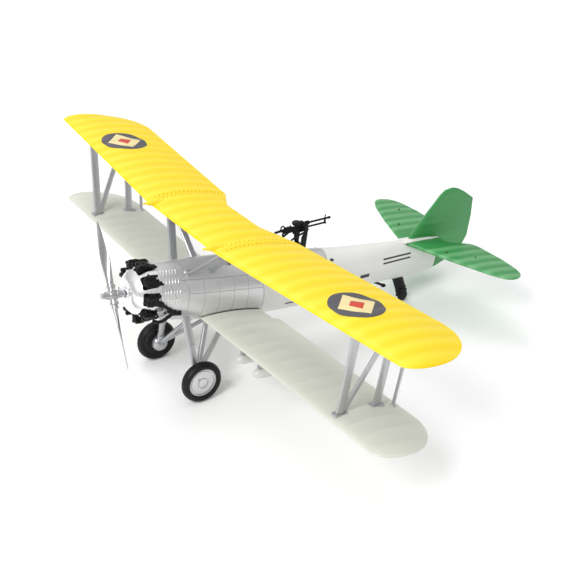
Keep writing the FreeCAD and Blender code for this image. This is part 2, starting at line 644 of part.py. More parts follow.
node(shaped("tailplane_plate", tail_plate), "tailplane", tail_level)

tail_leg = bar("tail_leg", (0, 73.6, -8.0), (0, 76.4, -14.3), "2.0", "0.85")
fork_arms = [block("fork_arm_%d" % k, (low, 75.2, -17.6), (low + 0.5, 77.9, -13.6))
             for k, low in enumerate((1.0, -1.5))]
fork_top = block("fork_top", (-1.5, 75.2, -14.6), (1.5, 77.4, -13.6))
tail_pin = rod("tail_pin", (-1.5, size("tail_wheel_aft"), size("tail_wheel_height")),
               (1.5, size("tail_wheel_aft"), size("tail_wheel_height")), "Sizes.tail_pin")
fork = fuse("tail_fork_fused", [tail_leg, fork_top, tail_pin] + fork_arms)
node(trim("tail_fork", fork, [fuselage_outside]), "tail_wheel_fork")
tail_wheel = turned("tail_wheel", [
    ("tail_pin + tail_pin_fit", "0"), ("1.2", "0"),
    ("1.7", "0.15", ("tail_wheel_radius", "tail_wheel_half")),
    ("1.7", "tail_wheel_half + tail_wheel_half - 0.15"), ("1.2", "tail_wheel_half + tail_wheel_half"),
    ("tail_pin + tail_pin_fit", "tail_wheel_half + tail_wheel_half")])
node(tail_wheel, "tail_wheel",
     place((-size("tail_wheel_half"), size("tail_wheel_aft"), size("tail_wheel_height")),
           turn((0, 0, 1), -90)))
hook_runs = [rod("hook_shank", (0, 61.0, -8.6), (0, 67.6, -11.7), "0.5"),
             block("hook_claw", (-0.6, 66.9, -12.3), (0.6, 68.4, -11.1))]
node(trim("hook", fuse("hook_fused", hook_runs), [fuselage_outside]), "arrestor_hook")

# ---------------------------------------------------------------- stores under the wings
for sign, side_name in ((1, "left"), (-1, "right")):
    beams = []
    for where in ("inner", "outer"):
        out = sign * size("bomb_%s_side" % where)
        bomb = turned("bomb_%s_%s" % (where, side_name), [
            ("0", "0"), ("0.9", "0.25", ("1.4", "1.0")), ("bomb_radius", "2.4"), ("bomb_radius", "5.6"),
            ("0.7", "8.6"), ("1.5", "9.4"), ("1.5", "bomb_length"), ("0", "bomb_length")])
        node(bomb, "bomb_%s_%s" % (where, side_name), place((out, size("bomb_front"), size("bomb_height"))))
        beam = block("rack_beam_%s_%s" % (where, side_name), (out - 0.6, -10.0, -12.2),
                     (out + 0.6, -3.0, -7.5))
        clear = rod("rack_clear_%s_%s" % (where, side_name), (out, -14, size("bomb_height")),
                    (out, 2, size("bomb_height")), "Sizes.bomb_radius")
        beams.append(cut("rack_%s_%s" % (where, side_name), beam, clear))
    tie = block("rack_tie_" + side_name, (min(sign * 27.0, sign * 36.6), -6.4, -9.6),
                (max(sign * 27.0, sign * 36.6), -5.6, -8.0))
    rack = fuse("rack_fused_" + side_name, beams + [tie])
    node(trim("rack_" + side_name, rack, [lower_blanks[side_name]]), "bomb_rack_" + side_name)

# ---------------------------------------------------------------- cockpits
floor_blank = block("floor_blank", (-7.5, -4.0, -7.5), (7.5, 30.0, -6.6))
floor_shape = doc.addObject("Part::Common", "cockpit_floor")
cabin = station_loft("cabin", "Sizes.skin - Sizes.glue_gap", 1, len(STATIONS) - 1)
floor_shape.Base = floor_blank
floor_shape.Tool = cabin
node(floor_shape, "cockpit_floor")
for seat_name, aft in (("front", 6.0), ("rear", 17.6)):
    pan = block("pan_" + seat_name, (-3.2, aft - 2.6, -6.6), (3.2, aft + 2.4, -3.4))
    back = block("back_" + seat_name, (-3.2, aft + 2.4, -6.6), (3.2, aft + 3.2, 2.6))
    if seat_name == "rear":
        back = block("back_rear_low", (-3.2, aft - 3.4, -6.6), (3.2, aft - 2.6, 1.6))
    node(fuse(seat_name + "_seat", [pan, back]), seat_name + "_seat")
panel_blank = block("panel_blank", (-8.6, -3.6, -5.0), (8.6, -2.8, 6.8))
panel = doc.addObject("Part::Common", "instrument_panel")
panel.Base = panel_blank
panel.Tool = cabin
node(panel, "instrument_panel")
screen_outer = block("screen_blank", (-3.6, -3.0, 7.4), (3.6, -2.5, 11.8))
node(trim("windscreen", screen_outer, [fuselage_outside]), "windscreen")

# ---------------------------------------------------------------- rear gun on its ring
ring_base = turned("ring_wall", [
    ("4.95", "0"), ("ring_radius + 0.9", "0"), ("ring_radius + 0.9", "3.6"), ("4.95", "3.6")])
ring_base.Placement = place((0, size("ring_aft"), size("ring_height") - 3.6),
                            turn((0, 0, 1), 37).multiply(turn((1, 0, 0), 90)))
node(trim("ring_seat", ring_base, [fuselage_outside]), "gun_ring")
turntable = turned("turntable", [
    ("4.95", "0.05"), ("ring_radius + 0.5", "0.05"), ("ring_radius + 0.5", "0.75"), ("4.95", "0.75")])
turntable.Placement = place((0, size("ring_aft"), size("ring_height")), turn((1, 0, 0), 90))
posts = [block("post_%d" % k, (low, size("gun_pivot_aft") - 0.8, size("ring_height") + 0.4),
               (low + 0.5, size("gun_pivot_aft") + 0.5, size("gun_pivot_height") + 0.6))
         for k, low in enumerate((1.85, -2.35))]
pintle = block("post_bridge", (-2.35, size("gun_pivot_aft") - 0.8, size("ring_height") + 0.6),
               (2.35, size("gun_pivot_aft") + 0.5, size("ring_height") + 1.6))
pin = rod("gun_pin", (-2.35, size("gun_pivot_aft"), size("gun_pivot_height")),
          (2.35, size("gun_pivot_aft"), size("gun_pivot_height")), "0.35")
node(fuse("gun_mount", [turntable, pintle, pin] + posts), "gun_mount")


def along_gun(back, up):
    """A place beside the gun pivot, measured along and square to the barrels."""
    slope = math.radians(size("gun_slope"))
    return (size("gun_pivot_aft") + back * math.cos(slope) - up * math.sin(slope),
            size("gun_pivot_height") + back * math.sin(slope) + up * math.cos(slope))


receiver = block("receiver", (-0.8, 0, 0), (0.8, 9.0, 2.3))
receiver.Placement = place((-0.8, *along_gun(-7.6, -0.8)), turn((1, 0, 0), size("gun_slope")))
barrel = rod("barrel", (0, *along_gun(1.0, 1.2)), (0, *along_gun(size("barrel_reach"), 1.2)), "0.4")
tube = rod("gas_tube", (0, *along_gun(1.0, -0.3)), (0, *along_gun(size("bracket_reach"), -0.3)), "0.4")
bracket = block("muzzle_bracket", (-0.3, 0, 0), (0.3, 0.6, 2.6))
bracket.Placement = place((-0.3, *along_gun(size("bracket_reach") - 0.4, -0.75)), turn((1, 0, 0), size("gun_slope")))
stock = rod("gun_stock", (0, *along_gun(-7.0, 0.4)), (0, *along_gun(-11.2, 0.4)), "0.42")
yoke = block("yoke", (-1.3, 0, 0), (1.3, 2.0, 1.5))
yoke.Placement = place((-1.3, *along_gun(-1.0, -0.75)), turn((1, 0, 0), size("gun_slope")))
grip = rod("gun_grip", (-1.6, *along_gun(-7.3, -0.2)), (1.6, *along_gun(-7.3, -0.2)), "0.4")
pin_hole = rod("gun_pin_hole", (-3, size("gun_pivot_aft"), size("gun_pivot_height")),
               (3, size("gun_pivot_aft"), size("gun_pivot_height")), "0.41")
gun = fuse("gun_fused", [receiver, barrel, tube, bracket, stock, yoke, grip])
drum_spot = along_gun(-2.7, 1.5)
node(trim("gun_bored", gun, [pin_hole]), "machine_gun")
ammo = turned("ammo_drum", [("0", "0"), ("1.5", "0"), ("1.5", "0.9"), ("1.1", "1.2"), ("0", "1.2")])
node(ammo, "ammunition_drum", place((0, *drum_spot), turn((1, 0, 0), 90 + size("gun_slope"))))

# ---------------------------------------------------------------- check and write
doc.recompute()
for item in doc.Objects:
    if "Invalid" in item.State or "Error" in item.State:
        raise RuntimeError("%s failed: %s" % (item.Name, item.State))
box = FreeCAD.BoundBox()
for item in nodes:
    if item.Shape.isNull() or not item.Shape.isValid() or not item.Shape.Solids:
        raise RuntimeError("%s has no valid solid" % item.Label)
    box.add(item.Shape.optimalBoundingBox(False, False))
    item.Shape.exportStep("parts/%s.step" % item.Label)
print("%d pieces, %.2f x %.2f x %.2f mm" % (len(nodes), box.XLength, box.YLength, box.ZLength))
print("middle %.3f %.3f, underside %.3f" % (box.Center.x, box.Center.y, box.ZMin))
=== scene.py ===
import json
import math
import bmesh
import bpy
from mathutils import Matrix, Vector


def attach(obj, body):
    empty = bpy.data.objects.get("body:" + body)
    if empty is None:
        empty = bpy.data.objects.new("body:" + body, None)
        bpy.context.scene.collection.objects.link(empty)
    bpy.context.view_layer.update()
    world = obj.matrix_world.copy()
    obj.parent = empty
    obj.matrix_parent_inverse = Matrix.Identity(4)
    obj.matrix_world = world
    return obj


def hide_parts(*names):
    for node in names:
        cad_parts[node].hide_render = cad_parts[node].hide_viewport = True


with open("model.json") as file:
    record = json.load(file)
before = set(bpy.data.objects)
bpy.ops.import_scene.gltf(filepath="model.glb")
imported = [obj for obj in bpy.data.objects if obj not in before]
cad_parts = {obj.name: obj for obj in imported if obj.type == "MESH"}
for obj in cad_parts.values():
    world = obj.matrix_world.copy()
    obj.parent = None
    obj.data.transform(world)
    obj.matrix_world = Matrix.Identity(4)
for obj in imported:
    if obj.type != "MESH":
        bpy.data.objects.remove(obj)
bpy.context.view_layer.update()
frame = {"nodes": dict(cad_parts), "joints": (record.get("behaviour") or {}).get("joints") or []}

# ------------------------------------------------------------------ upper wing
# One moulded wing in gloss yellow plastic, standing in for doped fabric over ribs: the cover sinks a
# little between the ribs and a narrow tape stands proud on each.  Two rows of rivets mark where the
# centre section is pinned to the outer panels.
thrust = next(joint for joint in frame["joints"] if joint["name"] == "propeller_spin")
aft = Vector(thrust["axis"]).normalized()
port = Vector((1, 0, 0))
up = port.cross(aft)
PROPELLER_AFT = -41.65
THRUST_HEIGHT = 0.7
nose = Vector(thrust["pos_m"]) - (aft * PROPELLER_AFT + up * THRUST_HEIGHT) * 0.001
craft = Matrix((port * 0.001, aft * 0.001, up * 0.001)).transposed().to_4x4()
craft.translation = nose
# craft turns the airframe's own millimetres (x to port, y aft, z up) into the model's metres


def add_node(tree, kind, inputs=None, **settings):
    """One node in a tree; inputs are plain values or the outputs that feed them."""
    made = tree.nodes.new(kind)
    for name, value in settings.items():
        setattr(made, name, value)
    for name, value in (inputs or {}).items():
        socket = made.inputs[name]
        if isinstance(value, bpy.types.NodeSocket):
            tree.links.new(value, socket)
        else:
            socket.default_value = value
    return made


def sum_of(tree, operation, first, second=0.0, third=0.0):
    return add_node(tree, "ShaderNodeMath", {0: first, 1: second, 2: third}, operation=operation).outputs[0]


def craft_position(tree):
    """Object coordinates turned into the airframe's own millimetres."""
    here = add_node(tree, "ShaderNodeTexCoord").outputs["Object"]
    lined_up = add_node(tree, "ShaderNodeMapping", {"Vector": here}, vector_type="TEXTURE")
    lined_up.inputs["Location"].default_value = craft.translation
    lined_up.inputs["Rotation"].default_value = craft.to_quaternion().to_euler()
    lined_up.inputs["Scale"].default_value = (0.001, 0.001, 0.001)
    return lined_up.outputs["Vector"]


def plastic_group():
    """Colour, gloss and fine relief of sprayed or moulded plastic, uneven on two scales."""
    group = bpy.data.node_groups.new("moulded_plastic", "ShaderNodeTree")
    for name, kind, start in (("Colour", "NodeSocketColor", (0.8, 0.8, 0.8, 1)),
                              ("Shade Change", "NodeSocketFloat", 0.06), ("Gloss", "NodeSocketFloat", 0.35),
                              ("Grain Size", "NodeSocketFloat", 0.0004)):
        group.interface.new_socket(name, in_out="INPUT", socket_type=kind).default_value = start
    for name, kind in (("Colour", "NodeSocketColor"), ("Roughness", "NodeSocketFloat"),
                       ("Relief", "NodeSocketFloat")):
        group.interface.new_socket(name, in_out="OUTPUT", socket_type=kind)
    given = add_node(group, "NodeGroupInput").outputs
    here = add_node(group, "ShaderNodeTexCoord").outputs["Object"]
    broad = add_node(group, "ShaderNodeTexNoise", {"Vector": here, "Scale": 70.0, "Detail": 3.0})
    fine_scale = sum_of(group, "DIVIDE", 1.0, given["Grain Size"])
    fine = add_node(group, "ShaderNodeTexNoise", {"Vector": here, "Scale": fine_scale, "Detail": 2.0})
    centred = sum_of(group, "SUBTRACT", broad.outputs["Fac"], 0.5)
    level = sum_of(group, "MULTIPLY_ADD", centred, given["Shade Change"], 1.0)
    shaded = add_node(group, "ShaderNodeHueSaturation", {"Color": given["Colour"], "Value": level})
    patchy = sum_of(group, "MULTIPLY_ADD", centred, 0.12, given["Gloss"])
    specks = sum_of(group, "SUBTRACT", fine.outputs["Fac"], 0.5)
    speckled = sum_of(group, "MULTIPLY_ADD", specks, 0.10, patchy)
    add_node(group, "NodeGroupOutput", {"Colour": shaded.outputs["Color"], "Roughness": speckled,
                                        "Relief": fine.outputs["Fac"]})
    return group


plastic = plastic_group()


def blank(name):
    """A new material with its node tree and its shader."""
    made = bpy.data.materials.new(name)
    made.use_nodes = True
    return made, made.node_tree, made.node_tree.nodes["Principled BSDF"]


def mix_colours(tree, share, first, second):
    """The first colour where the share is 0 and the second where it is 1."""
    return add_node(tree, "ShaderNodeMix", {0: share, 6: first, 7: second}, data_type="RGBA").outputs[2]


def finish(name, colour, gloss=0.35, metal=0.0, coat=0.0, shade=0.06, grain=0.0004, relief=0.000006,
           shine=0.5):
    """A material whose colour, roughness and bump come from the plastic group."""
    made, tree, shader = blank(name)
    shader.inputs["Metallic"].default_value = metal
    shader.inputs["Coat Weight"].default_value = coat
    shader.inputs["Coat Roughness"].default_value = 0.12
    shader.inputs["Specular IOR Level"].default_value = shine
    body = add_node(tree, "ShaderNodeGroup", node_tree=plastic)
    for socket, value in (("Colour", (*colour, 1)), ("Shade Change", shade), ("Gloss", gloss),
                          ("Grain Size", grain)):
        body.inputs[socket].default_value = value
    bump = add_node(tree, "ShaderNodeBump", {"Height": body.outputs["Relief"], "Distance": relief})
    tree.links.new(body.outputs["Colour"], shader.inputs["Base Color"])
    tree.links.new(body.outputs["Roughness"], shader.inputs["Roughness"])
    tree.links.new(bump.outputs["Normal"], shader.inputs["Normal"])
    return made


def solid(name, shape, material, body="airframe", sharp=38):
    """A finished mesh object from corners and faces in airframe millimetres."""
    mesh = bpy.data.meshes.new(name)
    mesh.from_pydata([tuple(v) for v in shape[0]], [], shape[1])
    mesh.transform(craft)
    mesh.materials.append(material)
    made = bpy.data.objects.new(name, mesh)
    bpy.context.scene.collection.objects.link(made)
    tidy(made, sharp)
    if body:
        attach(made, body)
    return made


def tidy(made, sharp=38):
    """Merges doubled corners, turns every face outwards and shades it."""
    shell = bmesh.new()
    shell.from_mesh(made.data)
    bmesh.ops.remove_doubles(shell, verts=shell.verts, dist=0.0000015)
    bmesh.ops.recalc_face_normals(shell, faces=shell.faces)
    shell.to_mesh(made.data)
    shell.free()
    made.data.shade_smooth()
    made.data.set_sharp_from_angle(angle=math.radians(sharp))


def together(shapes):
    verts, faces = [], []
    for corners, sides in shapes:
        start = len(verts)
        verts += list(corners)
        faces += [[index + start for index in side] for side in sides]
    return verts, faces


def settle(made, sharp=38):
    """Keeps the result of an object's modifiers as its plain mesh."""
    bpy.context.view_layer.update()
    result = made.evaluated_get(bpy.context.evaluated_depsgraph_get())
    mesh = bpy.data.meshes.new_from_object(result)
    made.modifiers.clear()
    made.data = mesh
    tidy(made, sharp)
    return made


def grow(made, tree, values):
    """Runs a geometry tree on an object with its inputs set by name, and keeps the mesh."""
    modifier = made.modifiers.new("grow", "NODES")
    modifier.node_group = tree
    for item in tree.interface.items_tree:
        if item.in_out == "INPUT" and item.name in values:
            modifier[item.identifier] = values[item.name]
    return settle(made)


def geometry_tree(name, inputs):
    tree = bpy.data.node_groups.new(name, "GeometryNodeTree")
    tree.interface.new_socket("Geometry", in_out="INPUT", socket_type="NodeSocketGeometry")
    for label, kind, start in inputs:
        socket = tree.interface.new_socket(label, in_out="INPUT", socket_type=kind)
        if start is not None:
            socket.default_value = start
    tree.interface.new_socket("Geometry", in_out="OUTPUT", socket_type="NodeSocketGeometry")
    return tree, add_node(tree, "NodeGroupInput").outputs


def end_tree(tree, geometry, material):
    whole = add_node(tree, "GeometryNodeRealizeInstances", {"Geometry": geometry})
    dressed = add_node(tree, "GeometryNodeSetMaterial",
                       {"Geometry": whole.outputs[0], "Material": material})
    add_node(tree, "NodeGroupOutput", {"Geometry": dressed.outputs[0]})
    return tree


def rib_cover_tree():
    """Sinks a cover between evenly spaced ribs and raises a tape over each rib."""
    tree, given = geometry_tree("rib_cover", (
        ("Rib Pitch", "NodeSocketFloat", 0.0063), ("Sag", "NodeSocketFloat", 0.0001),
        ("Tape Width", "NodeSocketFloat", 0.0006), ("Tape Height", "NodeSocketFloat", 0.00003),
        ("Across Ribs", "NodeSocketVector", (1.0, 0.0, 0.0)), ("First Rib", "NodeSocketFloat", 0.0),
        ("Face Way", "NodeSocketVector", (0.0, 0.0, 1.0)),
        ("Material", "NodeSocketMaterial", None)))
    place = add_node(tree, "GeometryNodeInputPosition").outputs[0]
    along = add_node(tree, "ShaderNodeVectorMath", {0: place, 1: given["Across Ribs"]},
                     operation="DOT_PRODUCT").outputs["Value"]
    count = sum_of(tree, "DIVIDE", sum_of(tree, "SUBTRACT", along, given["First Rib"]), given["Rib Pitch"])
    off = sum_of(tree, "ABSOLUTE", sum_of(tree, "SUBTRACT", count, sum_of(tree, "ROUND", count)))
    dip = sum_of(tree, "MULTIPLY", sum_of(tree, "SUBTRACT", 1.0, sum_of(
        tree, "COSINE", sum_of(tree, "MULTIPLY", off, 2 * math.pi))), -0.5)
    sunk = sum_of(tree, "MULTIPLY", dip, given["Sag"])
    gap = sum_of(tree, "SUBTRACT", sum_of(tree, "MULTIPLY", off, given["Rib Pitch"]),
                 sum_of(tree, "MULTIPLY", given["Tape Width"], 0.5))
    on_tape = sum_of(tree, "LESS_THAN", gap, 0.0)
    raised = sum_of(tree, "MULTIPLY_ADD", on_tape, given["Tape Height"], sunk)
    normal = add_node(tree, "GeometryNodeInputNormal").outputs[0]
    level = add_node(tree, "ShaderNodeVectorMath", {0: normal, 1: given["Face Way"]},
                     operation="DOT_PRODUCT").outputs["Value"]
    free = add_node(tree, "GeometryNodeInputNamedAttribute", {"Name": "free"}, data_type="FLOAT").outputs[0]
    held = sum_of(tree, "MULTIPLY", raised, sum_of(tree, "POWER", sum_of(tree, "ABSOLUTE", level), 4.0))
    held = sum_of(tree, "MULTIPLY", held, free)
    push = add_node(tree, "ShaderNodeVectorMath", {0: normal, "Scale": held}, operation="SCALE").outputs[0]
    moved = add_node(tree, "GeometryNodeSetPosition", {"Geometry": given["Geometry"], "Offset": push})
    return end_tree(tree, moved.outputs[0], given["Material"])


def mark_free(made, inset, reach=5.0):
    """Stores how freely a cover can sink at each corner: 0 at its edges, 1 from reach inwards."""
    free = made.data.attributes.new("free", "FLOAT", "POINT")
    to_craft = craft.inverted()
    for corner in made.data.vertices:
        part = min(1.0, max(0.0, inset(to_craft @ corner.co) / reach))
        free.data[corner.index].value = part * part * (3 - 2 * part)


def rivet_tree():
    """Small round heads at an even spacing along every edge line of a wire."""
    tree, given = geometry_tree("rivet_line", (
        ("Spacing", "NodeSocketFloat", 0.0012), ("Head Radius", "NodeSocketFloat", 0.00014),
        ("Material", "NodeSocketMaterial", None)))
    line = add_node(tree, "GeometryNodeMeshToCurve", {"Mesh": given["Geometry"]})
    spots = add_node(tree, "GeometryNodeResampleCurve",
                     {"Curve": line.outputs[0], "Length": given["Spacing"]}, mode="LENGTH")
    head = add_node(tree, "GeometryNodeMeshUVSphere",
                    {"Segments": 8, "Rings": 5, "Radius": given["Head Radius"]})
    heads = add_node(tree, "GeometryNodeInstanceOnPoints",
                     {"Points": spots.outputs[0], "Instance": head.outputs["Mesh"]})
    return end_tree(tree, heads.outputs[0], given["Material"])


rib_cover = rib_cover_tree()
rivet_line = rivet_tree()


def rivets(name, lines, material, body="airframe", spacing=0.0012, radius=0.00014):
    """Rivet heads along wires given in airframe millimetres."""
    verts, edges = [], []
    for line in lines:
        start = len(verts)
        verts += [tuple(spot) for spot in line]
        edges += [(start + k, start + k + 1) for k in range(len(line) - 1)]
    mesh = bpy.data.meshes.new(name)
    mesh.from_pydata(verts, edges, [])
    mesh.transform(craft)
    made = bpy.data.objects.new(name, mesh)
    bpy.context.scene.collection.objects.link(made)
    grow(made, rivet_line, {"Spacing": spacing, "Head Radius": radius, "Material": material})
    made.data.shade_smooth()
    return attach(made, body)


def round_in(out, start, end):
    """How far a rounded tip has closed in, 0 where it starts and 1 at its end."""
    if out <= start:
        return 0.0
    return 1.0 - math.sqrt(max(0.0, 1.0 - ((out - start) / (end - start)) ** 2))


def wing_section(lead, chord, height, ratio, keep=1.0, steps=18):
    """Corners (y, z) of a wing section, top from front to back and then the underside."""
    top, under = [], []
    for step in range(steps + 1):
        part = keep * 0.5 * (1 - math.cos(math.pi * step / steps))
        half = 5 * ratio * chord * (0.2969 * math.sqrt(part) - 0.1260 * part - 0.3516 * part ** 2
                                    + 0.2843 * part ** 3 - 0.1036 * part ** 4)
        half = max(half, min(0.14, 0.012 * chord)) if part > 0.5 else half
        camber = 0.4 * ratio * chord * 4 * part * (1 - part)
        top.append((lead + part * chord, height + camber + half))
        under.append((lead + part * chord, height + 0.55 * camber - 0.75 * half))
    return top + under[:0:-1]


def skin_between(rings):
    """A closed shape from equal rings of corners, capped at both ends."""
    size = len(rings[0])
    verts = [corner for ring in rings for corner in ring]
    faces = []
    for row in range(len(rings) - 1):
        for k in range(size):
            a, b = row * size + k, row * size + (k + 1) % size
            faces.append([a, b, b + size, a + size])
    faces.append(list(range(size)))
    faces.append([(len(rings) - 1) * size + k for k in range(size)])
    return verts, faces


def span_spots(start, end, pitch, tip):
    """Places along a span: close together at each rib and towards the rounded tip."""
    spots = {round(start, 4), round(end, 4)}
    rib = math.floor(start / pitch) - 1
    while rib * pitch < end:
        for share in (-0.075, -0.05, -0.046, 0.0, 0.046, 0.05, 0.075, 0.16, 0.28, 0.4, 0.5, 0.6, 0.72, 0.84):
            spot = (rib + share) * pitch
            if start < spot < end:
                spots.add(round(spot, 4))
        rib += 1
    for k in range(24):
        spot = end - tip * (1 - math.sin(math.pi / 2 * k / 24)) ** 1.3
        if spot > start:
            spots.add(round(spot, 4))
    return sorted(spots)


RIB_PITCH = 6.3
RIB_TAPE = {"Tape Width": 0.0006, "Tape Height": 0.000012}
UPPER_SAG = 0.23
UPPER_HALF_SPAN = 103.8
UPPER_CHORD = 29.5
UPPER_THICKNESS = 0.092
UPPER_FRONT = -20.03
CENTRE_HALF_WIDTH = 21.7
SWEEP = 0.081
CUT_OUT_AFT = 2.73
CUT_OUT_HALF_WIDTH = 9.65


def upper_lead(out):
    swept = UPPER_FRONT + SWEEP * max(0.0, out - CENTRE_HALF_WIDTH)
    return swept + 0.29 * UPPER_CHORD * round_in(out, 99.8, UPPER_HALF_SPAN)


def upper_trail(out):
    swept = UPPER_FRONT + SWEEP * max(0.0, out - CENTRE_HALF_WIDTH) + UPPER_CHORD
    return swept - 0.71 * UPPER_CHORD * round_in(out, 83.8, UPPER_HALF_SPAN)


def upper_height(out):
    return 20.72 + 0.027 * max(0.0, out - CENTRE_HALF_WIDTH)


def cut_out(out):
    """How far back the wing reaches over the cockpits."""
    share = (out - CUT_OUT_HALF_WIDTH) / (CENTRE_HALF_WIDTH - CUT_OUT_HALF_WIDTH)
    return CUT_OUT_AFT + (UPPER_FRONT + UPPER_CHORD - CUT_OUT_AFT) * min(1.0, max(0.0, share))



def painted_rib_shading(material, dark, light, pitch, only_below=None, beyond=0.0):
    """Paints light and shade into a material's colour: soft bands across the ribs, between a darker and a
    lighter tone.
    """
    tree = material.node_tree
    across, _, height = add_node(tree, "ShaderNodeSeparateXYZ", {0: craft_position(tree)}).outputs
    rib_shading_wave = sum_of(tree, "COSINE", sum_of(tree, "MULTIPLY", across, 2 * math.pi / pitch))
    share = sum_of(tree, "MULTIPLY_ADD", rib_shading_wave, 0.5, 0.5)
    if only_below is not None:
        share = sum_of(tree, "MULTIPLY", share, sum_of(tree, "LESS_THAN", height, only_below))
        far = sum_of(tree, "GREATER_THAN", sum_of(tree, "ABSOLUTE", across), beyond)
        share = sum_of(tree, "MULTIPLY", share, far)
    body = next(node for node in tree.nodes if node.type == "GROUP")
    tree.links.new(mix_colours(tree, share, (*dark, 1), (*light, 1)), body.inputs["Colour"])


yellow = finish("yellow_plastic", (0.95, 0.69, 0.012), gloss=0.45, coat=0.05, shade=0.05, shine=0.25)
# painted shading: darker and lighter bands across the ribs stand in for the light and shade on the sunk cover
painted_rib_shading(yellow, (0.93, 0.672, 0.012), (0.965, 0.735, 0.04), RIB_PITCH)
rings = []
outs = span_spots(0.0, UPPER_HALF_SPAN - 0.02, RIB_PITCH, 20.0)
for x in [-out for out in outs[:0:-1]] + outs:
    out = abs(x)
    chord = upper_trail(out) - upper_lead(out)
    keep = min(1.0, (cut_out(out) - upper_lead(out)) / chord) if out < CENTRE_HALF_WIDTH else 1.0
    section = wing_section(upper_lead(out), chord, upper_height(out), UPPER_THICKNESS, keep)
    rings.append([(x, y, z) for y, z in section])
upper_wing = solid("upper_wing_cover", skin_between(rings), yellow)


def upper_inset(at):
    """Distance from a place on the upper wing to its nearer edge, front or rear."""
    out = abs(at.x)
    rear = min(upper_trail(out), cut_out(out)) if out < CENTRE_HALF_WIDTH else upper_trail(out)
    return min(at.y - upper_lead(out), rear - at.y)


mark_free(upper_wing, upper_inset)
grow(upper_wing, rib_cover, {"Rib Pitch": RIB_PITCH / 1000, "Sag": UPPER_SAG / 1000, **RIB_TAPE,
                             "Material": yellow})
under_silver = finish("under_silver", (0.60, 0.605, 0.61), gloss=0.45, metal=0.3)
upper_wing.data.materials.append(under_silver)
for face in upper_wing.data.polygons:
    if face.normal.z < -0.55:
        face.material_index = 1
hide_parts("upper_wing")


def wing_top(x, y, which="upper"):
    """Height of the wing's upper surface at a place on it."""
    out = abs(x)
    if which == "upper":
        lead, trail, height, ratio = upper_lead(out), upper_trail(out), upper_height(out), UPPER_THICKNESS
    else:
        lead, trail, height, ratio = lower_lead(out), lower_trail(out), lower_height(out), LOWER_THICKNESS
    chord = trail - lead
    part = min(1.0, max(0.0, (y - lead) / chord))
    half = 5 * ratio * chord * (0.2969 * math.sqrt(part) - 0.1260 * part - 0.3516 * part ** 2
                                + 0.2843 * part ** 3 - 0.1036 * part ** 4)
    return height + 0.4 * ratio * chord * 4 * part * (1 - part) + half


lines = []
for side in (-1, 1):
    for x in (19.9, 22.4):
        lines.append([(side * x, y / 2, wing_top(x, y / 2) + 0.02) for y in range(-34, 18)])
rivet_yellow = finish("rivet_yellow", (0.80, 0.50, 0.01), gloss=0.45)
wing_rivets = rivets("wing_rivets", lines, rivet_yellow, spacing=0.0015, radius=0.00021)


def lathe(profile, base, axis, segments=40):
    """A turned shape: profile is (radius, distance along the axis) from end to end."""
    axis = Vector(axis).normalized()
    side = axis.orthogonal().normalized()
    other = axis.cross(side)
    base = Vector(base)
    verts, rows = [], []
    for radius, along in profile:
        if radius < 1e-6:
            rows.append([len(verts)])
            verts.append(base + axis * along)
            continue
        rows.append(list(range(len(verts), len(verts) + segments)))
        for k in range(segments):
            angle = 2 * math.pi * k / segments
            verts.append(base + axis * along + (side * math.cos(angle) + other * math.sin(angle)) * radius)
    faces = []
    for low, high in zip(rows, rows[1:]):
        for k in range(segments):
            after = (k + 1) % segments
            if len(low) == 1 and len(high) == 1:
                continue
            if len(low) == 1:
                faces.append([low[0], high[after], high[k]])
            elif len(high) == 1:
                faces.append([low[k], low[after], high[0]])
            else:
                faces.append([low[k], low[after], high[after], high[k]])
    for row, turned in ((rows[0], False), (rows[-1], True)):
        if len(row) > 1:
            faces.append(row if turned else row[::-1])
    return verts, faces


def hollow(shape):
    """A turned shape without its caps, for a profile whose last corner is its first one again."""
    return shape[0], [face for face in shape[1] if len(face) < 8]


# ------------------------------------------------------------------ wing gun fairings
# Two slim blisters let into the leading edge beside the centre section, moulded with the wing, each
# with a short blast tube showing at its front.
SIDES = ((1, "left"), (-1, "right"))
for side, name in SIDES:
    blister = solid("wing_gun_fairing_cover_" + name, lathe(
        [(0, 0), (0.30, 0), (0.34, 0.1), (0.34, 1.1), (0.55, 1.3), (0.82, 2.0), (0.95, 3.4), (0.95, 7.2),
         (0.8, 9.0), (0.45, 10.4), (0, 11.2)], (side * 18.8, -23.2, 21.62), (0, 1, 0), 28), yellow)
    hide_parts("wing_gun_fairing_" + name)

# ------------------------------------------------------------------ lower wings
# Cream plastic panels, one each side, pushed against the fuselage flanks; their covers sink a little
# between the ribs, less than the upper wing's does.
LOWER_HALF_SPAN = 99.3
LOWER_CHORD = 24.2
LOWER_THICKNESS = 0.10
LOWER_FRONT = -13.17


def lower_lead(out):
    return LOWER_FRONT + 0.010 * out + 0.38 * LOWER_CHORD * round_in(out, 94.3, LOWER_HALF_SPAN)


def lower_trail(out):
    full = LOWER_FRONT + 0.010 * out + LOWER_CHORD
    return full - 0.62 * LOWER_CHORD * round_in(out, 83.3, LOWER_HALF_SPAN)


def lower_height(out):
    return -8.95 + 0.022 * out


cream = finish("cream_plastic", (0.68, 0.685, 0.60), gloss=0.42, coat=0.1, shade=0.05)
for side, name in SIDES:
    rings = []
    for out in span_spots(6.0, LOWER_HALF_SPAN - 0.02, RIB_PITCH, 16.0):
        chord = lower_trail(out) - lower_lead(out)
        keep = (chord - 2.4) / chord if out < 15.4 else 1.0
        section = wing_section(lower_lead(out), chord, lower_height(out), LOWER_THICKNESS, keep)
        rings.append([(side * out, y, z) for y, z in section])
    panel = solid("lower_wing_cover_" + name, skin_between(rings), cream)
    mark_free(panel, lambda at: min(at.y - lower_lead(abs(at.x)), lower_trail(abs(at.x)) - at.y))
    grow(panel, rib_cover, {"Rib Pitch": RIB_PITCH / 1000, "Sag": 0.00018, **RIB_TAPE, "Material": cream})
    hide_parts("lower_wing_" + name)

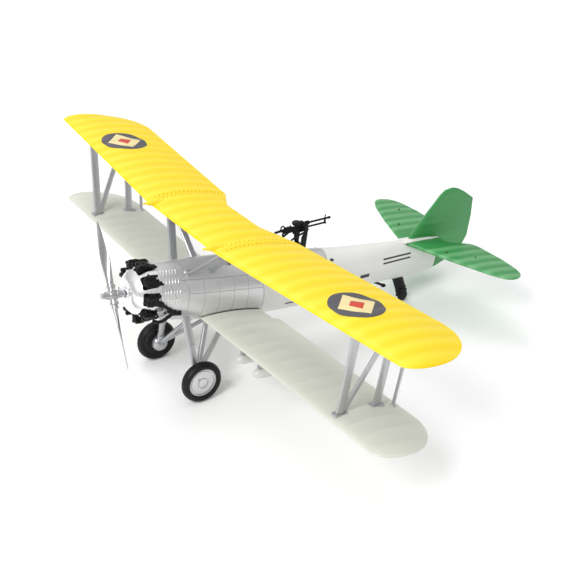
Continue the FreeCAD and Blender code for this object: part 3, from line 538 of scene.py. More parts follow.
# ------------------------------------------------------------------ wing marks
# Thin printed marks laid over the ribs of the upper wing, one near each tip.  They are kept generic: a
# slate disc with a cream diamond and a small red one in its middle.
mark, tree, shader = blank("printed_mark")
spot = add_node(tree, "ShaderNodeUVMap", uv_map="mark").outputs[0]
split = add_node(tree, "ShaderNodeSeparateXYZ", {0: spot}).outputs
across, along = sum_of(tree, "ABSOLUTE", split[0]), sum_of(tree, "ABSOLUTE", split[1])
from_middle = sum_of(tree, "ADD", across, along)
in_diamond = sum_of(tree, "LESS_THAN", from_middle, 0.80)
in_core = sum_of(tree, "LESS_THAN", from_middle, 0.34)
worn = add_node(tree, "ShaderNodeTexNoise",
                {"Vector": add_node(tree, "ShaderNodeTexCoord").outputs["Object"], "Scale": 900.0})
slate = mix_colours(tree, worn.outputs["Fac"], (0.065, 0.062, 0.075, 1), (0.085, 0.08, 0.09, 1))
with_diamond = mix_colours(tree, in_diamond, slate, (0.86, 0.72, 0.36, 1))
with_core = mix_colours(tree, in_core, with_diamond, (0.62, 0.05, 0.02, 1))
tree.links.new(with_core, shader.inputs["Base Color"])
shader.inputs["Roughness"].default_value = 0.38
shader.inputs["Coat Weight"].default_value = 0.2
MARK_OUT = 69.5
MARK_AFT = -4.27
MARK_RADIUS = 8.1
for side, name in SIDES:
    verts, faces = [], []
    rows, turns = 12, 64
    for row in range(rows + 1):
        for k in range(turns):
            angle = 2 * math.pi * k / turns
            u, v = row / rows * math.cos(angle), row / rows * math.sin(angle)
            x, y = side * MARK_OUT + MARK_RADIUS * u, MARK_AFT + MARK_RADIUS * v
            off = abs(x / RIB_PITCH - round(x / RIB_PITCH))
            sunk = UPPER_SAG * 0.5 * (1 - math.cos(2 * math.pi * off))
            verts.append((x, y, wing_top(x, y) + 0.06 - sunk))
    for row in range(rows):
        for k in range(turns):
            a, b = row * turns + k, row * turns + (k + 1) % turns
            faces.append([a, b, b + turns, a + turns])
    made = solid("wing_mark_" + name, (verts, faces), mark, body=None, sharp=60)
    layer = made.data.uv_layers.new(name="mark")
    for loop in made.data.loops:
        here = craft.inverted() @ made.data.vertices[loop.vertex_index].co
        layer.data[loop.index].uv = ((here.x - side * MARK_OUT) / MARK_RADIUS,
                                     (here.y - MARK_AFT) / MARK_RADIUS)
    if made.data.polygons[0].normal.z < 0:
        made.data.flip_normals()
    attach(made, "airframe")

# ------------------------------------------------------------------ struts between the wings
# Streamlined struts moulded in silver-grey plastic as an N each side, with foot plates glued to the
# lower wing, a thin aileron link rod behind each N and a pair of cabane struts over the fuselage.
silver_paint = finish("silver_paint", (0.49, 0.495, 0.51), gloss=0.32, metal=0.8, shade=0.06,
                      relief=0.0000012)


def strut(start, end, half_chord, half_thick, lead=(0, 1, 0), flare=0.0, steps=10, segments=24):
    """A streamlined bar between two points, wider at its ends by flare."""
    start, end, lead = Vector(start), Vector(end), Vector(lead)
    along = (end - start).normalized()
    wide = (lead - along * lead.dot(along)).normalized()
    thin = along.cross(wide)
    rings = []
    for step in range(steps + 1):
        part = step / steps
        grow_by = 1 + flare * (abs(2 * part - 1) ** 6)
        middle = start.lerp(end, part)
        rings.append([middle + wide * half_chord * grow_by * math.cos(2 * math.pi * k / segments)
                      + thin * half_thick * grow_by * math.sin(2 * math.pi * k / segments)
                      for k in range(segments)])
    return skin_between(rings)


def flip(side, spot):
    return (side * spot[0], spot[1], spot[2])


def bead(centre, sizes, segments=20):
    """A small flattened ball, used for strut feet and fittings."""
    verts, faces = lathe([(math.sin(math.pi * k / 10), -math.cos(math.pi * k / 10)) for k in range(11)],
                         (0, 0, 0), (0, 0, 1), segments)
    return [Vector(centre) + Vector((v.x * sizes[0], v.y * sizes[1], v.z * sizes[2])) for v in verts], faces


SQUARE = (Vector((1, 0, 0)), Vector((0, 1, 0)), Vector((0, 0, 1)))


def block(centre, half, axes, edge=0.12):
    """A small box with bevelled edges, lying along three given directions."""
    shape = bmesh.new()
    bmesh.ops.create_cube(shape, size=2.0)
    for corner in shape.verts:
        corner.co = Vector((corner.co.x * half[0], corner.co.y * half[1], corner.co.z * half[2]))
    bmesh.ops.bevel(shape, geom=list(shape.edges), offset=edge, segments=2, profile=0.5, affect="EDGES")
    verts = [Vector(centre) + axes[0] * v.co.x + axes[1] * v.co.y + axes[2] * v.co.z for v in shape.verts]
    faces = [[v.index for v in face.verts] for face in shape.faces]
    shape.free()
    return verts, faces


for side, name in SIDES:
    front_foot, front_head = (75.9, -9.1, -7.0), (79.8, -11.4, 22.4)
    rear_foot, rear_head = (75.9, 3.7, -6.6), (79.8, 1.7, 22.4)
    shapes = [strut(flip(side, front_foot), flip(side, front_head), 1.5, 0.55, flare=0.12, steps=16),
              strut(flip(side, rear_foot), flip(side, rear_head), 1.4, 0.55, flare=0.12, steps=16),
              strut(flip(side, (75.95, -8.6, -6.0)), flip(side, (79.7, 0.9, 21.6)), 1.05, 0.42)]
    for x, y in ((75.9, -9.1), (75.9, 3.7)):
        foot = Vector(flip(side, (x, y, wing_top(x, y, "lower") + 0.05)))
        shapes.append(block(foot, (1.15, 2.3, 0.32), SQUARE, 0.15))
    made = solid("interplane_struts_" + name, together(shapes), silver_paint)
    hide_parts("interplane_strut_" + name)
    link = solid("aileron_rod_" + name, together([
        strut(flip(side, (76.8, 9.4, -7.0)), flip(side, (80.7, 7.6, 22.3)), 0.62, 0.42),
        bead(flip(side, (76.9, 9.4, wing_top(76.9, 9.4, "lower"))), (0.7, 0.9, 0.7)),
        bead(flip(side, (80.6, 7.6, 21.6)), (0.7, 0.9, 0.8))]), silver_paint)
    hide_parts("aileron_link_" + name)
    for end, foot, head, chord in (("front", (4.6, -18.4, 6.4), (19.3, -13.0, 20.6), 1.45),
                                   ("rear", (4.6, -10.2, 5.9), (19.9, -12.0, 20.6), 1.15)):
        made = solid("cabane_%s_cover_%s" % (end, name), together([
            strut(flip(side, foot), flip(side, head), chord, 0.5, flare=0.15, steps=14),
            bead(flip(side, (foot[0] + 0.2, foot[1], foot[2] + 1.0)), (1.0, 1.9, 0.8))]), silver_paint)
        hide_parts("cabane_strut_%s_%s" % (end, name))

# ------------------------------------------------------------------ fuselage
# Two moulded halves glued along the middle.  The front is silver like riveted metal panels, with
# engraved joints, louvres and a raised deck round the cockpits; behind it the shell is off-white like
# doped fabric over long stringers.
STATIONS = ((-29.0, 0.3, 8.6, 8.8), (-17.0, -0.8, 9.2, 9.9), (-5.0, -1.6, 9.4, 10.5), (10.0, -2.4, 9.2, 10.5),
            (30.0, -2.9, 8.5, 9.7), (46.0, -2.7, 7.0, 8.5), (61.5, -2.0, 4.9, 7.5), (73.0, -1.9, 3.2, 7.4),
            (80.0, -1.8, 2.3, 7.2), (89.5, -1.5, 1.1, 6.1))


def station_at(y):
    """Middle height, half width and half height of the fuselage at a distance aft."""
    spot = min(max(y, STATIONS[0][0]), STATIONS[-1][0])
    k = max(i for i in range(len(STATIONS) - 1) if STATIONS[i][0] <= spot)
    before, after = STATIONS[k], STATIONS[k + 1]
    wide = after[0] - before[0]
    part = (spot - before[0]) / wide
    results = []
    for field in (1, 2, 3):
        slopes = []
        for here in (k, k + 1):
            low, high = STATIONS[max(0, here - 1)], STATIONS[min(len(STATIONS) - 1, here + 1)]
            slopes.append((high[field] - low[field]) / (high[0] - low[0]) * wide)
        a, b = before[field], after[field]
        results.append((2 * part ** 3 - 3 * part ** 2 + 1) * a + (3 * part ** 2 - 2 * part ** 3) * b
                       + (part ** 3 - 2 * part ** 2 + part) * slopes[0] + (part ** 3 - part ** 2) * slopes[1])
    return results


def on_hull(y, angle, out=0.0):
    """A point on the fuselage; angle is 0 at port, 90 on top, in degrees."""
    middle, wide, tall = station_at(y)
    turn = math.radians(angle)
    return Vector(((wide + out) * math.cos(turn), y, middle + (tall + out) * math.sin(turn)))


def hull_side(y, z, out=0.0, side=1):
    """A point on the fuselage flank at a height."""
    middle, wide, tall = station_at(y)
    rise = max(-1.0, min(1.0, (z - middle) / tall))
    point = on_hull(y, math.degrees(math.asin(rise)), out)
    return Vector((side * point.x, point.y, point.z))


hull, tree, shader = blank("hull_skin")
shader.inputs["Coat Weight"].default_value = 0.15
place = craft_position(tree)
x_at, y_at, z_at = add_node(tree, "ShaderNodeSeparateXYZ", {0: place}).outputs
x_out = sum_of(tree, "ABSOLUTE", x_at)


def band(value, middle, half):
    """1 on a narrow line where a value passes through its middle, soft at both sides."""
    gap = sum_of(tree, "ABSOLUTE", sum_of(tree, "SUBTRACT", value, middle))
    return add_node(tree, "ShaderNodeMapRange", {"Value": gap, "From Min": half * 0.5, "From Max": half,
                                                 "To Min": 1.0, "To Max": 0.0}).outputs[0]


def both(first, second):
    return sum_of(tree, "MULTIPLY", first, second)


def either(first, second):
    return sum_of(tree, "MAXIMUM", first, second)


def above(value, limit):
    return sum_of(tree, "GREATER_THAN", value, limit)


def below(value, limit):
    return sum_of(tree, "LESS_THAN", value, limit)


# the edge of the metal panels: 8 to 9.2 aft low down, back to 36.7 over the cockpit deck
low_edge = sum_of(tree, "MULTIPLY_ADD", sum_of(tree, "SUBTRACT", 0.3, z_at), 0.11, 8.2)
deck_edge = sum_of(tree, "MULTIPLY_ADD", both(x_out, x_out), -0.042, 36.7)
deck_floor = sum_of(tree, "MULTIPLY_ADD", y_at, -0.035, 5.6)
on_deck = above(z_at, deck_floor)
ahead_low = below(y_at, low_edge)
ahead_deck = both(on_deck, below(y_at, deck_edge))
metal_part = either(ahead_low, ahead_deck)
seam_height = sum_of(tree, "MULTIPLY_ADD", sum_of(tree, "ADD", y_at, 19.3), -0.0555, 1.8)
crease_height = sum_of(tree, "MULTIPLY_ADD", sum_of(tree, "ADD", y_at, 22.0), -0.050, 5.9)
engraved = band(sum_of(tree, "SUBTRACT", z_at, seam_height), 0.0, 0.11)
engraved = both(engraved, both(above(y_at, -19.6), ahead_low))
crease = both(band(sum_of(tree, "SUBTRACT", z_at, crease_height), 0.0, 0.12), both(above(y_at, -22.0),
                                                                              below(y_at, 36.0)))
engraved = either(engraved, crease)
under_crease = below(z_at, crease_height)
for spot in (-14.0, -8.6, -3.1, 2.3):
    engraved = either(engraved, both(band(y_at, spot, 0.11), under_crease))
engraved = either(engraved, band(y_at, -19.7, 0.13))
engraved = either(engraved, both(band(sum_of(tree, "SUBTRACT", y_at, low_edge), 0.0, 0.16), below(z_at, 5.6)))
deck_line = both(band(sum_of(tree, "SUBTRACT", y_at, deck_edge), 0.0, 0.2), on_deck)
engraved = either(engraved, deck_line)
slant = sum_of(tree, "MULTIPLY_ADD", sum_of(tree, "ADD", y_at, 24.8), -2.4, 2.6)
slant = sum_of(tree, "SUBTRACT", slant, z_at)
engraved = either(engraved, both(band(slant, 0.0, 0.22), both(above(z_at, 0.8), both(
    below(z_at, 5.0), below(y_at, -22.0)))))
engraved = both(engraved, above(x_out, 0.4))
stringers = sum_of(tree, "SINE", sum_of(tree, "MULTIPLY", sum_of(
    tree, "DIVIDE", z_at, sum_of(tree, "MULTIPLY_ADD", y_at, -0.035, 9.6)), 17.0))
fabric_side = sum_of(tree, "SUBTRACT", 1.0, metal_part)
skin_colour = mix_colours(tree, metal_part, (0.76, 0.76, 0.73, 1), (0.70, 0.705, 0.705, 1))
engraved_colour = mix_colours(tree, both(engraved, 0.48), skin_colour, (0.10, 0.10, 0.11, 1))
life = add_node(tree, "ShaderNodeGroup", {"Colour": engraved_colour, "Shade Change": 0.07, "Gloss": 0.37,
                                          "Grain Size": 0.0004}, node_tree=plastic)
relief = sum_of(tree, "MULTIPLY_ADD", engraved, -9.0, life.outputs["Relief"])
relief = sum_of(tree, "MULTIPLY_ADD", both(stringers, fabric_side), 2.2, relief)
bump = add_node(tree, "ShaderNodeBump", {"Height": relief, "Distance": 0.000006})
tree.links.new(life.outputs["Colour"], shader.inputs["Base Color"])
tree.links.new(life.outputs["Roughness"], shader.inputs["Roughness"])
tree.links.new(both(metal_part, 0.8), shader.inputs["Metallic"])
tree.links.new(bump.outputs["Normal"], shader.inputs["Normal"])

rings = []
y = -29.0
while y < 89.5:
    rings.append([on_hull(y, 360 * k / 96 + 90) for k in range(96)])
    y += 0.75 if y < 44 else 1.2
rings.append([on_hull(89.5, 360 * k / 96 + 90) for k in range(96)])
for ring in rings:
    for corner in ring:
        if corner.y > 73.4:
            corner.z = min(corner.z, 3.75)
inner = []
for y in (-30.0, -29.0, -24.0, -17.0, -10.0, -5.0, 2.0, 10.0, 20.0, 30.0, 38.0):
    middle, wide, tall = station_at(y)
    inner.append([Vector(((wide - 0.9) * math.cos(2 * math.pi * k / 64), y,
                          middle + (tall - 0.9) * math.sin(2 * math.pi * k / 64))) for k in range(64)])
shell = solid("fuselage_shell", skin_between(rings), hull, body=None, sharp=45)


def stadium(middle, radius, stretch, low, high, segments=20):
    """An upright round-ended prism, used to open a cockpit."""
    rim = [(radius * math.cos(math.pi * k / segments), middle + stretch + radius * math.sin(
        math.pi * k / segments)) for k in range(segments + 1)]
    rim += [(-x, 2 * middle - y) for x, y in rim]
    return skin_between([[(x, y, z) for x, y in rim] for z in (low, high)])


cutters = [solid("cut_%d" % k, shape, hull, body=None) for k, shape in enumerate((
    skin_between(inner), stadium(4.5, 4.9, 2.4, 1.2, 12.0), stadium(21.8, 4.9, 2.4, 1.2, 12.0)))]
for cutter in cutters:
    carve = shell.modifiers.new("carve", "BOOLEAN")
    carve.operation = "DIFFERENCE"
    carve.object = cutter
    carve.solver = "EXACT"
settle(shell, 35)
for cutter in cutters:
    bpy.data.objects.remove(cutter)
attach(shell, "airframe")
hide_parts("fuselage_left_half", "fuselage_right_half")

metal_grain = finish("riveted_metal", (0.76, 0.765, 0.77), gloss=0.3, metal=0.8)
lines = []
for side in (1, -1):
    for angle in (6, 20, 34, 48, 62, 76, -8, -22, -36, -50, -64, -78):
        face = angle if side > 0 else 180 - angle
        lines.append([on_hull(-21.3, face - 5, 0.0), on_hull(-21.3, face + 5, 0.0)])
    lines.append([hull_side(y, 2.4 - 0.055 * (y + 19.3), 0.0, side) for y in (-18, -12, -6, 0, 6)])
    lines.append([hull_side(y, 5.2 - 0.05 * (y + 22.0), 0.0, side) for y in (-19, -12, -6, 0, 6)])
    lines.append([hull_side(y, -7.8, 0.0, side) for y in (-19, -12, -6, 0, 7)])
hull_rivets = rivets("hull_rivets", lines, metal_grain, spacing=0.0014, radius=0.00015)


def louvre_tree():
    """Sets one pressed louvre on every point, turned by the point's own Lean and Roll."""
    tree, given = geometry_tree("louvres", (
        ("Length", "NodeSocketFloat", 0.0021), ("Width", "NodeSocketFloat", 0.0006),
        ("Height", "NodeSocketFloat", 0.00038), ("Material", "NodeSocketMaterial", None)))
    ball = add_node(tree, "GeometryNodeMeshUVSphere", {"Segments": 10, "Rings": 7, "Radius": 0.5})
    size = add_node(tree, "ShaderNodeCombineXYZ", {0: given["Width"], 1: given["Length"], 2: given["Height"]})
    shaped = add_node(tree, "GeometryNodeTransform",
                      {"Geometry": ball.outputs["Mesh"], "Scale": size.outputs[0]})
    turned = add_node(tree, "GeometryNodeInputNamedAttribute", {"Name": "facing"}, data_type="FLOAT_VECTOR")
    pods = add_node(tree, "GeometryNodeInstanceOnPoints", {
        "Points": given["Geometry"], "Instance": shaped.outputs[0], "Rotation": turned.outputs[0]})
    return end_tree(tree, pods.outputs[0], given["Material"])


# louvres stand upright on the flanks just behind the engine, in five short rows each side
spots, turns = [], []
for side in (1, -1):
    for row_height in (8.0, 6.0, 2.7, -0.3, -3.4):
        for k in range(6):
            y = -28.0 + 1.05 * k
            spot = hull_side(y, row_height, 0.0, side)
            beside = hull_side(y, row_height + 0.3, 0.0, side)
            uphill = (beside - spot).normalized()
            outward = Vector((0, 1, 0)).cross(uphill) * (-side)
            if outward.x * side < 0:
                outward = -outward
            slanted = (uphill + Vector((0, 0.28, 0))).normalized()
            third = slanted.cross(outward).normalized()
            facing = Matrix((third, slanted, outward)).transposed()
            world = (craft.to_3x3() * 1000) @ facing
            spots.append(tuple(spot))
            turns.append(world.to_euler())
mesh = bpy.data.meshes.new("side_louvres")
mesh.from_pydata(spots, [], [])
mesh.transform(craft)
facing = mesh.attributes.new("facing", "FLOAT_VECTOR", "POINT")
for k, turned in enumerate(turns):
    facing.data[k].vector = turned
louvres = bpy.data.objects.new("side_louvres", mesh)
bpy.context.scene.collection.objects.link(louvres)
grow(louvres, louvre_tree(), {"Material": metal_grain})
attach(louvres, "airframe")


def pipe(points, radius, segments=16, closed=False):
    """A round rod that follows points."""
    points = [Vector(p) for p in points]
    count = len(points)
    rings, side = [], None
    for k, point in enumerate(points):
        before = points[(k - 1) % count] if closed or k else point
        after = points[(k + 1) % count] if closed or k < count - 1 else point
        way = (after - before).normalized()
        side = way.orthogonal() if side is None else side - way * side.dot(way)
        side.normalize()
        other = way.cross(side)
        rings.append([point + (side * math.cos(2 * math.pi * j / segments)
                               + other * math.sin(2 * math.pi * j / segments)) * radius
                      for j in range(segments)])
    verts, faces = skin_between(rings)
    if closed:
        faces = faces[:-2]
        last = (count - 1) * segments
        for j in range(segments):
            after = (j + 1) % segments
            faces.append([last + j, last + after, after, j])
    return verts, faces


# a dark pipe where each lower wing meets the flank: painted shadow along the joint
# one dark material, used both for dark parts and for painted shadow
dark_and_shadow = finish("dark_parts_and_painted_shadow", (0.03, 0.03, 0.032), gloss=0.6)
for side, name in SIDES:
    seam = []
    for k in range(24):
        y = -12.9 + 21.0 * k / 23
        x = 8.0
        for _ in range(12):
            x = 0.5 * (x + hull_side(y, wing_top(x, y, "lower")).x)
        seam.append((side * (x + 0.02), y, wing_top(x, y, "lower") - 0.10))
    gap = solid("wing_root_shadow_" + name, pipe(seam, 0.24, 10), dark_and_shadow)

# a small dark peg each side, just behind the cockpit deck
pegs = [bead((4.8 * side, 37.9, 4.3), (0.6, 0.8, 0.5), 12) for side, _ in SIDES]
deck_peg = solid("deck_peg", together(pegs), dark_and_shadow)

# ------------------------------------------------------------------ cockpits
# Round-ended openings with a padded rim, a floor, two seats and a dark instrument board inside; a
# small framed windscreen stands ahead of the front one.
padding = finish("dark_padding", (0.022, 0.021, 0.020), gloss=0.6, shade=0.3, relief=0.00002)
interior = finish("cockpit_grey", (0.12, 0.125, 0.125), gloss=0.55, shade=0.15)
seat_brown = finish("seat_brown", (0.10, 0.055, 0.03), gloss=0.5, shade=0.3, relief=0.00002)


def repaint(material, *names):
    """Gives pieces that keep their design shape a material."""
    for name in names:
        frame["nodes"][name].data.materials.clear()
        frame["nodes"][name].data.materials.append(material)


def rim_line(middle, radius, stretch, out, steps=14):
    """Points round a cockpit opening, lying on the fuselage top."""
    line = []
    for half in (1, -1):
        for k in range(steps + 1):
            angle = math.pi * k / steps
            x = half * radius * math.cos(angle)
            y = middle + half * (stretch + radius * math.sin(angle))
            centre, wide, tall = station_at(y)
            line.append((x, y, centre + tall * math.sqrt(1 - (x / wide) ** 2) + out))
    return line


rims = solid("cockpit_rims", together([
    pipe(rim_line(4.5, 4.95, 2.4, 0.05), 0.42, 12, True),
    pipe(rim_line(21.8, 5.0, 2.4, 0.0), 0.38, 12, True)]), padding)
repaint(interior, "cockpit_floor", "instrument_panel")
repaint(seat_brown, "front_seat", "rear_seat")
dial_white = finish("dial_faces", (0.6, 0.6, 0.56), gloss=0.4)
dials = []
for x, z in ((-3.6, 4.2), (-1.2, 4.6), (1.2, 4.6), (3.6, 4.2), (-2.4, 2.2), (0.0, 2.3), (2.4, 2.2)):
    dials.append(lathe([(0, 0), (0.72, 0), (0.72, 0.12), (0.85, 0.12), (0.85, 0.3), (0, 0.3)][::-1],
                       (x, -2.85, z), (0, 1, 0), 20))
dial_set = solid("instrument_dials", together(dials), dial_white)
screen_glass, tree, shader = blank("screen_glass")
shader.inputs["Transmission Weight"].default_value = 1.0
shader.inputs["IOR"].default_value = 1.3
smear = add_node(tree, "ShaderNodeTexNoise", {"Scale": 300.0})
tree.links.new(sum_of(tree, "MULTIPLY", smear.outputs["Fac"], 0.12), shader.inputs["Roughness"])
screen_corners = [(-4.3, 8.0), (-2.9, 11.3), (2.9, 11.3), (4.3, 8.0)]
glass = solid("windscreen_pane", skin_between([[(x, y, z) for x, z in screen_corners] for y in (-2.9, -2.6)]),
              screen_glass)
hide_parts("windscreen")
screen_frame = solid("windscreen_frame", together(
    [pipe([(x, -2.75, z) for x, z in screen_corners], 0.22, 8),
     pipe([(x, -2.75, z) for x, z in ((-4.3, 7.9), (-2.2, 8.8), (0, 9.15), (2.2, 8.8), (4.3, 7.9))], 0.34, 8),
     pipe([(-1.0, -2.75, 9.0), (-0.9, -2.75, 11.3)], 0.16, 8),
     pipe([(1.0, -2.75, 9.0), (0.9, -2.75, 11.3)], 0.16, 8)]), padding)

# ------------------------------------------------------------------ engine
# A nine-cylinder radial in black plastic on its crankcase: fins and heads come from the frame, and each
# cylinder gets push rods, rocker covers, a plug, blocks behind its head and the stub to the collector.
BLACK_SHINE = 0.22
engine_black = finish("engine_black", (0.006, 0.006, 0.0065), gloss=0.40, shade=0.4, relief=0.00002,
                      shine=BLACK_SHINE)
engine_grey = finish("engine_grey", (0.16, 0.16, 0.165), gloss=0.42, metal=0.4)
repaint(engine_black, *["cylinder_%d" % number for number in range(1, 10)])
repaint(engine_grey, "crankcase")


CYLINDERS = 9
ENGINE_AFT = -32.7
back = Vector((0, 1, 0))


def cylinder_ways(number, turned=0.0):
    """Directions at a cylinder: round the engine and outwards along the cylinder."""
    angle = math.radians(84.0 + turned + 360.0 / CYLINDERS * number)
    return Vector((-math.sin(angle), 0, math.cos(angle))), Vector((math.cos(angle), 0, math.sin(angle)))


shapes, clips = [], []
for number in range(CYLINDERS):
    side_way, out = cylinder_ways(number)
    axes = (side_way, back, out)
    middle = Vector((0, ENGINE_AFT, THRUST_HEIGHT))
    for lean in (-1, 1):
        shapes.append(pipe([middle + out * 5.6 + side_way * lean * 0.75 - back * 1.9,
                            middle + out * 9.0 + side_way * lean * 0.95 - back * 1.75], 0.26, 8))
        shapes.append(block(middle + out * 9.55 + side_way * lean * 0.95 - back * 0.6, (0.55, 1.35, 0.42),
                            axes))
    shapes.append(block(middle + out * 9.35 + back * 0.3, (1.5, 1.7, 0.35), axes))
    shapes.append(pipe([middle + out * 9.0 + back * 1.5, middle + out * 8.8 + back * 2.7,
                        middle + out * 7.6 + back * 3.4], 0.55, 10))
    shapes.append(pipe([middle + out * 8.8 + side_way * 1.5, middle + out * 8.9 + side_way * 2.4], 0.25, 8))
    shapes.append(block(middle + out * 9.2 + back * 2.4 - side_way * 1.2, (0.62, 1.3, 0.42), axes))
    shapes.append(block(middle + out * 9.1 + back * 2.3 + side_way * 1.35, (0.40, 0.6, 0.40), axes))
    shapes.append(block(middle + out * 9.0 + back * 3.7 - side_way * 1.5, (0.30, 0.5, 0.30), axes, 0.08))
    clips.append(block(middle + out * 9.35 + back * 2.2 + side_way * 0.45, (0.34, 0.42, 0.30), axes, 0.08))
dressing = solid("engine_dressing", together(shapes), engine_black)
clip_set = solid("engine_clips", together(clips), silver_paint)

# ------------------------------------------------------------------ nose cowl
# A spun dome in bright silver over the engine, with nine round-cornered slots that let the heads
# through and a ribbed plate round the propeller shaft.
bright_silver = finish("bright_silver", (0.90, 0.90, 0.91), gloss=0.27, metal=0.8, coat=0.1, shade=0.05,
                       relief=0.0000012)
COWL_FRONT = -37.2
dome = [(1.5, 0.0), (3.7, 0.0), (4.3, 0.12), (5.2, 0.5), (6.1, 1.2), (7.0, 2.25), (7.7, 3.4), (8.25, 4.5),
        (8.5, 5.6), (8.56, 6.9), (8.6, 8.2), (8.0, 8.2), (7.95, 6.6), (7.85, 5.4), (7.55, 4.3), (7.0, 3.2),
        (6.3, 2.3), (5.4, 1.5), (4.6, 0.95), (3.6, 0.6), (1.5, 0.6), (1.5, 0.0)]
cowl = solid("cowl_dome", hollow(lathe(dome, (0, COWL_FRONT, THRUST_HEIGHT), (0, 1, 0), 144)), bright_silver,
             body=None)
slots = []
for number in range(CYLINDERS):
    side_way, out = cylinder_ways(number)
    slots.append(block(Vector((0, COWL_FRONT + 5.0, THRUST_HEIGHT)) + out * 7.0, (2.15, 2.6, 4.0),
                       (side_way, back, out), 0.7))
knife = solid("slot_knife", together(slots), bright_silver, body=None)
carve = cowl.modifiers.new("carve", "BOOLEAN")
carve.operation = "DIFFERENCE"
carve.object = knife
carve.solver = "EXACT"
settle(cowl, 40)
bpy.data.objects.remove(knife)
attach(cowl, "airframe")
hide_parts("nose_cowl")
ribs = []
PLATE_RIBS = 18
for number in range(PLATE_RIBS):
    angle = 2 * math.pi * number / PLATE_RIBS
    out = Vector((math.cos(angle), 0, math.sin(angle)))
    middle = Vector((0, COWL_FRONT + 0.05, THRUST_HEIGHT))
    ribs.append(pipe([middle + out * 1.8, middle + out * 3.7 + Vector((0, 0.02, 0)),
                      middle + out * 4.6 + Vector((0, 0.3, 0))], 0.13, 8))
ribs.append(lathe([(1.45, 0.1), (1.45, -0.3), (1.75, -0.35), (1.9, -0.2), (1.9, 0.1)],
                  (0, COWL_FRONT, THRUST_HEIGHT), (0, 1, 0), 40))
for number in range(CYLINDERS):
    out = cylinder_ways(number, -20.0)[1]
    ribs.append(bead(Vector((0, COWL_FRONT + 3.15, THRUST_HEIGHT)) + out * 7.6, (0.22, 0.22, 0.22), 10))
plate_ribs = solid("cowl_plate_ribs", together(ribs), bright_silver)

# ------------------------------------------------------------------ exhaust
# Each side has a black collector: two branches from the lower cylinders run into a short tail pipe low on
# the flank, with a thin cross piece between them and two silver elbows beside it.
exhaust_black = finish("exhaust_black", (0.008, 0.008, 0.008), gloss=0.42, shade=0.4, relief=0.00002,
                       shine=BLACK_SHINE)
for side, name in SIDES:
    def mirrored(*spots):
        return [flip(side, spot) for spot in spots]

    route = mirrored((9.2, -30.3, -0.4), (9.2, -28.6, -0.9), (9.0, -27.2, -1.9), (8.7, -26.0, -3.1),
                     (8.5, -24.6, -4.0), (8.4, -23.2, -4.4), (8.35, -22.0, -4.55))
    lower = mirrored((7.4, -31.0, -6.4), (7.9, -29.3, -6.9), (8.1, -27.9, -6.6), (8.4, -26.5, -5.5),
                     (8.5, -25.0, -4.5))
    cross = mirrored((8.2, -28.7, -2.2), (8.5, -27.8, -3.3), (8.4, -27.0, -4.8))
    made = solid("exhaust_cover_" + name, together([
        pipe(route[:4], 0.52, 14), pipe(route[3:], 0.82, 16), pipe(lower, 0.55, 14), pipe(cross, 0.3, 10),
        bead(route[3], (0.85, 0.95, 0.9), 16), bead(route[1], (0.6, 0.7, 0.65), 14),
        lathe([(0, 0), (0.9, 0), (1.0, 0.12), (1.0, 0.5), (0.9, 0.6), (0, 0.6)], route[4],
              Vector(route[5]) - Vector(route[4]), 16)]), exhaust_black)
    elbows = solid("exhaust_elbows_" + name, together([
        pipe(mirrored((8.4, -30.4, -2.9), (8.9, -29.3, -2.9), (8.8, -28.2, -2.4)), 0.55, 14),
        pipe(mirrored((8.1, -29.4, -4.9), (8.6, -28.0, -4.6), (8.7, -26.6, -3.9)), 0.42, 14)]), silver_paint)
    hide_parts("exhaust_pipe_" + name)

# ------------------------------------------------------------------ propeller
# Two silver-grey twisted blades clamped in a split barrel with ring collars, pushed on the shaft with a
# domed cap in front, free to spin in the cowl.
blade_grey = finish("blade_grey", (0.46, 0.465, 0.48), gloss=0.32, metal=0.9, coat=0.1, shade=0.06,
                    relief=0.0000012)
lean = math.radians(35.7)
blade_way = Vector((-math.sin(lean), 0, math.cos(lean)))
turning = Vector((0, 1, 0)).cross(blade_way)
for number, flipped in ((1, 1), (2, -1)):
    rings = []
    for step in range(41):
        out = 1.9 + (23.3 - 1.9) * math.sin(math.pi / 2 * step / 40) ** (0.9)
        part = min(1.0, (out - 1.9) / 21.4)
        wide = 0.95 + 0.85 * math.exp(-((part - 0.50) / 0.30) ** 2)
        wide *= math.sqrt(max(0.0, 1 - max(0.0, (part - 0.80) / 0.2004) ** 2.4)) if part > 0.80 else 1.0
        thick = 0.95 * (1 - part) ** 2.2 + 0.16
        thick = min(thick, max(wide * 0.95, 0.05))
        pitch = math.radians(58 - 45 * part ** 0.6)
        chord_way = turning * flipped * math.cos(pitch) + Vector((0, 1, 0)) * math.sin(pitch)
        face_way = chord_way.cross(blade_way * flipped)
        middle = Vector((0, PROPELLER_AFT, THRUST_HEIGHT)) + blade_way * flipped * out
        ring = []
        for k in range(28):
            angle = 2 * math.pi * k / 28
            ring.append(middle + chord_way * wide * math.cos(angle)
                        + face_way * thick * math.sin(angle) * (1 if math.sin(angle) > 0 else 0.55))
        rings.append(ring)
    made = solid("blade_%d" % number, skin_between(rings), blade_grey, "propeller", 50)
    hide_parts("propeller_blade_%d" % number)
hub_front = -45.6
centre = Vector((0, PROPELLER_AFT, THRUST_HEIGHT))
spinner = [(0, 0), (0.5, 0.02), (0.8, 0.3), (0.9, 0.8), (0.85, 1.3), (1.15, 1.45), (1.25, 1.9), (1.2, 2.4),
           (1.35, 2.7), (1.6, 3.0), (1.7, 3.4), (1.7, 4.6), (1.55, 5.1), (1.2, 5.5), (1.2, 7.0), (0.8, 7.0),
           (0.8, 15.6), (0, 15.6)]
half_sleeve = [(1.12, 2.2), (1.3, 2.25), (1.38, 2.4), (1.38, 2.9), (1.3, 3.1), (0.98, 3.2), (0.98, 3.8),
               (1.15, 3.9), (1.15, 4.2), (0.95, 4.3), (0, 4.3)]
sleeve = [(radius, -along) for radius, along in half_sleeve[::-1]] + half_sleeve
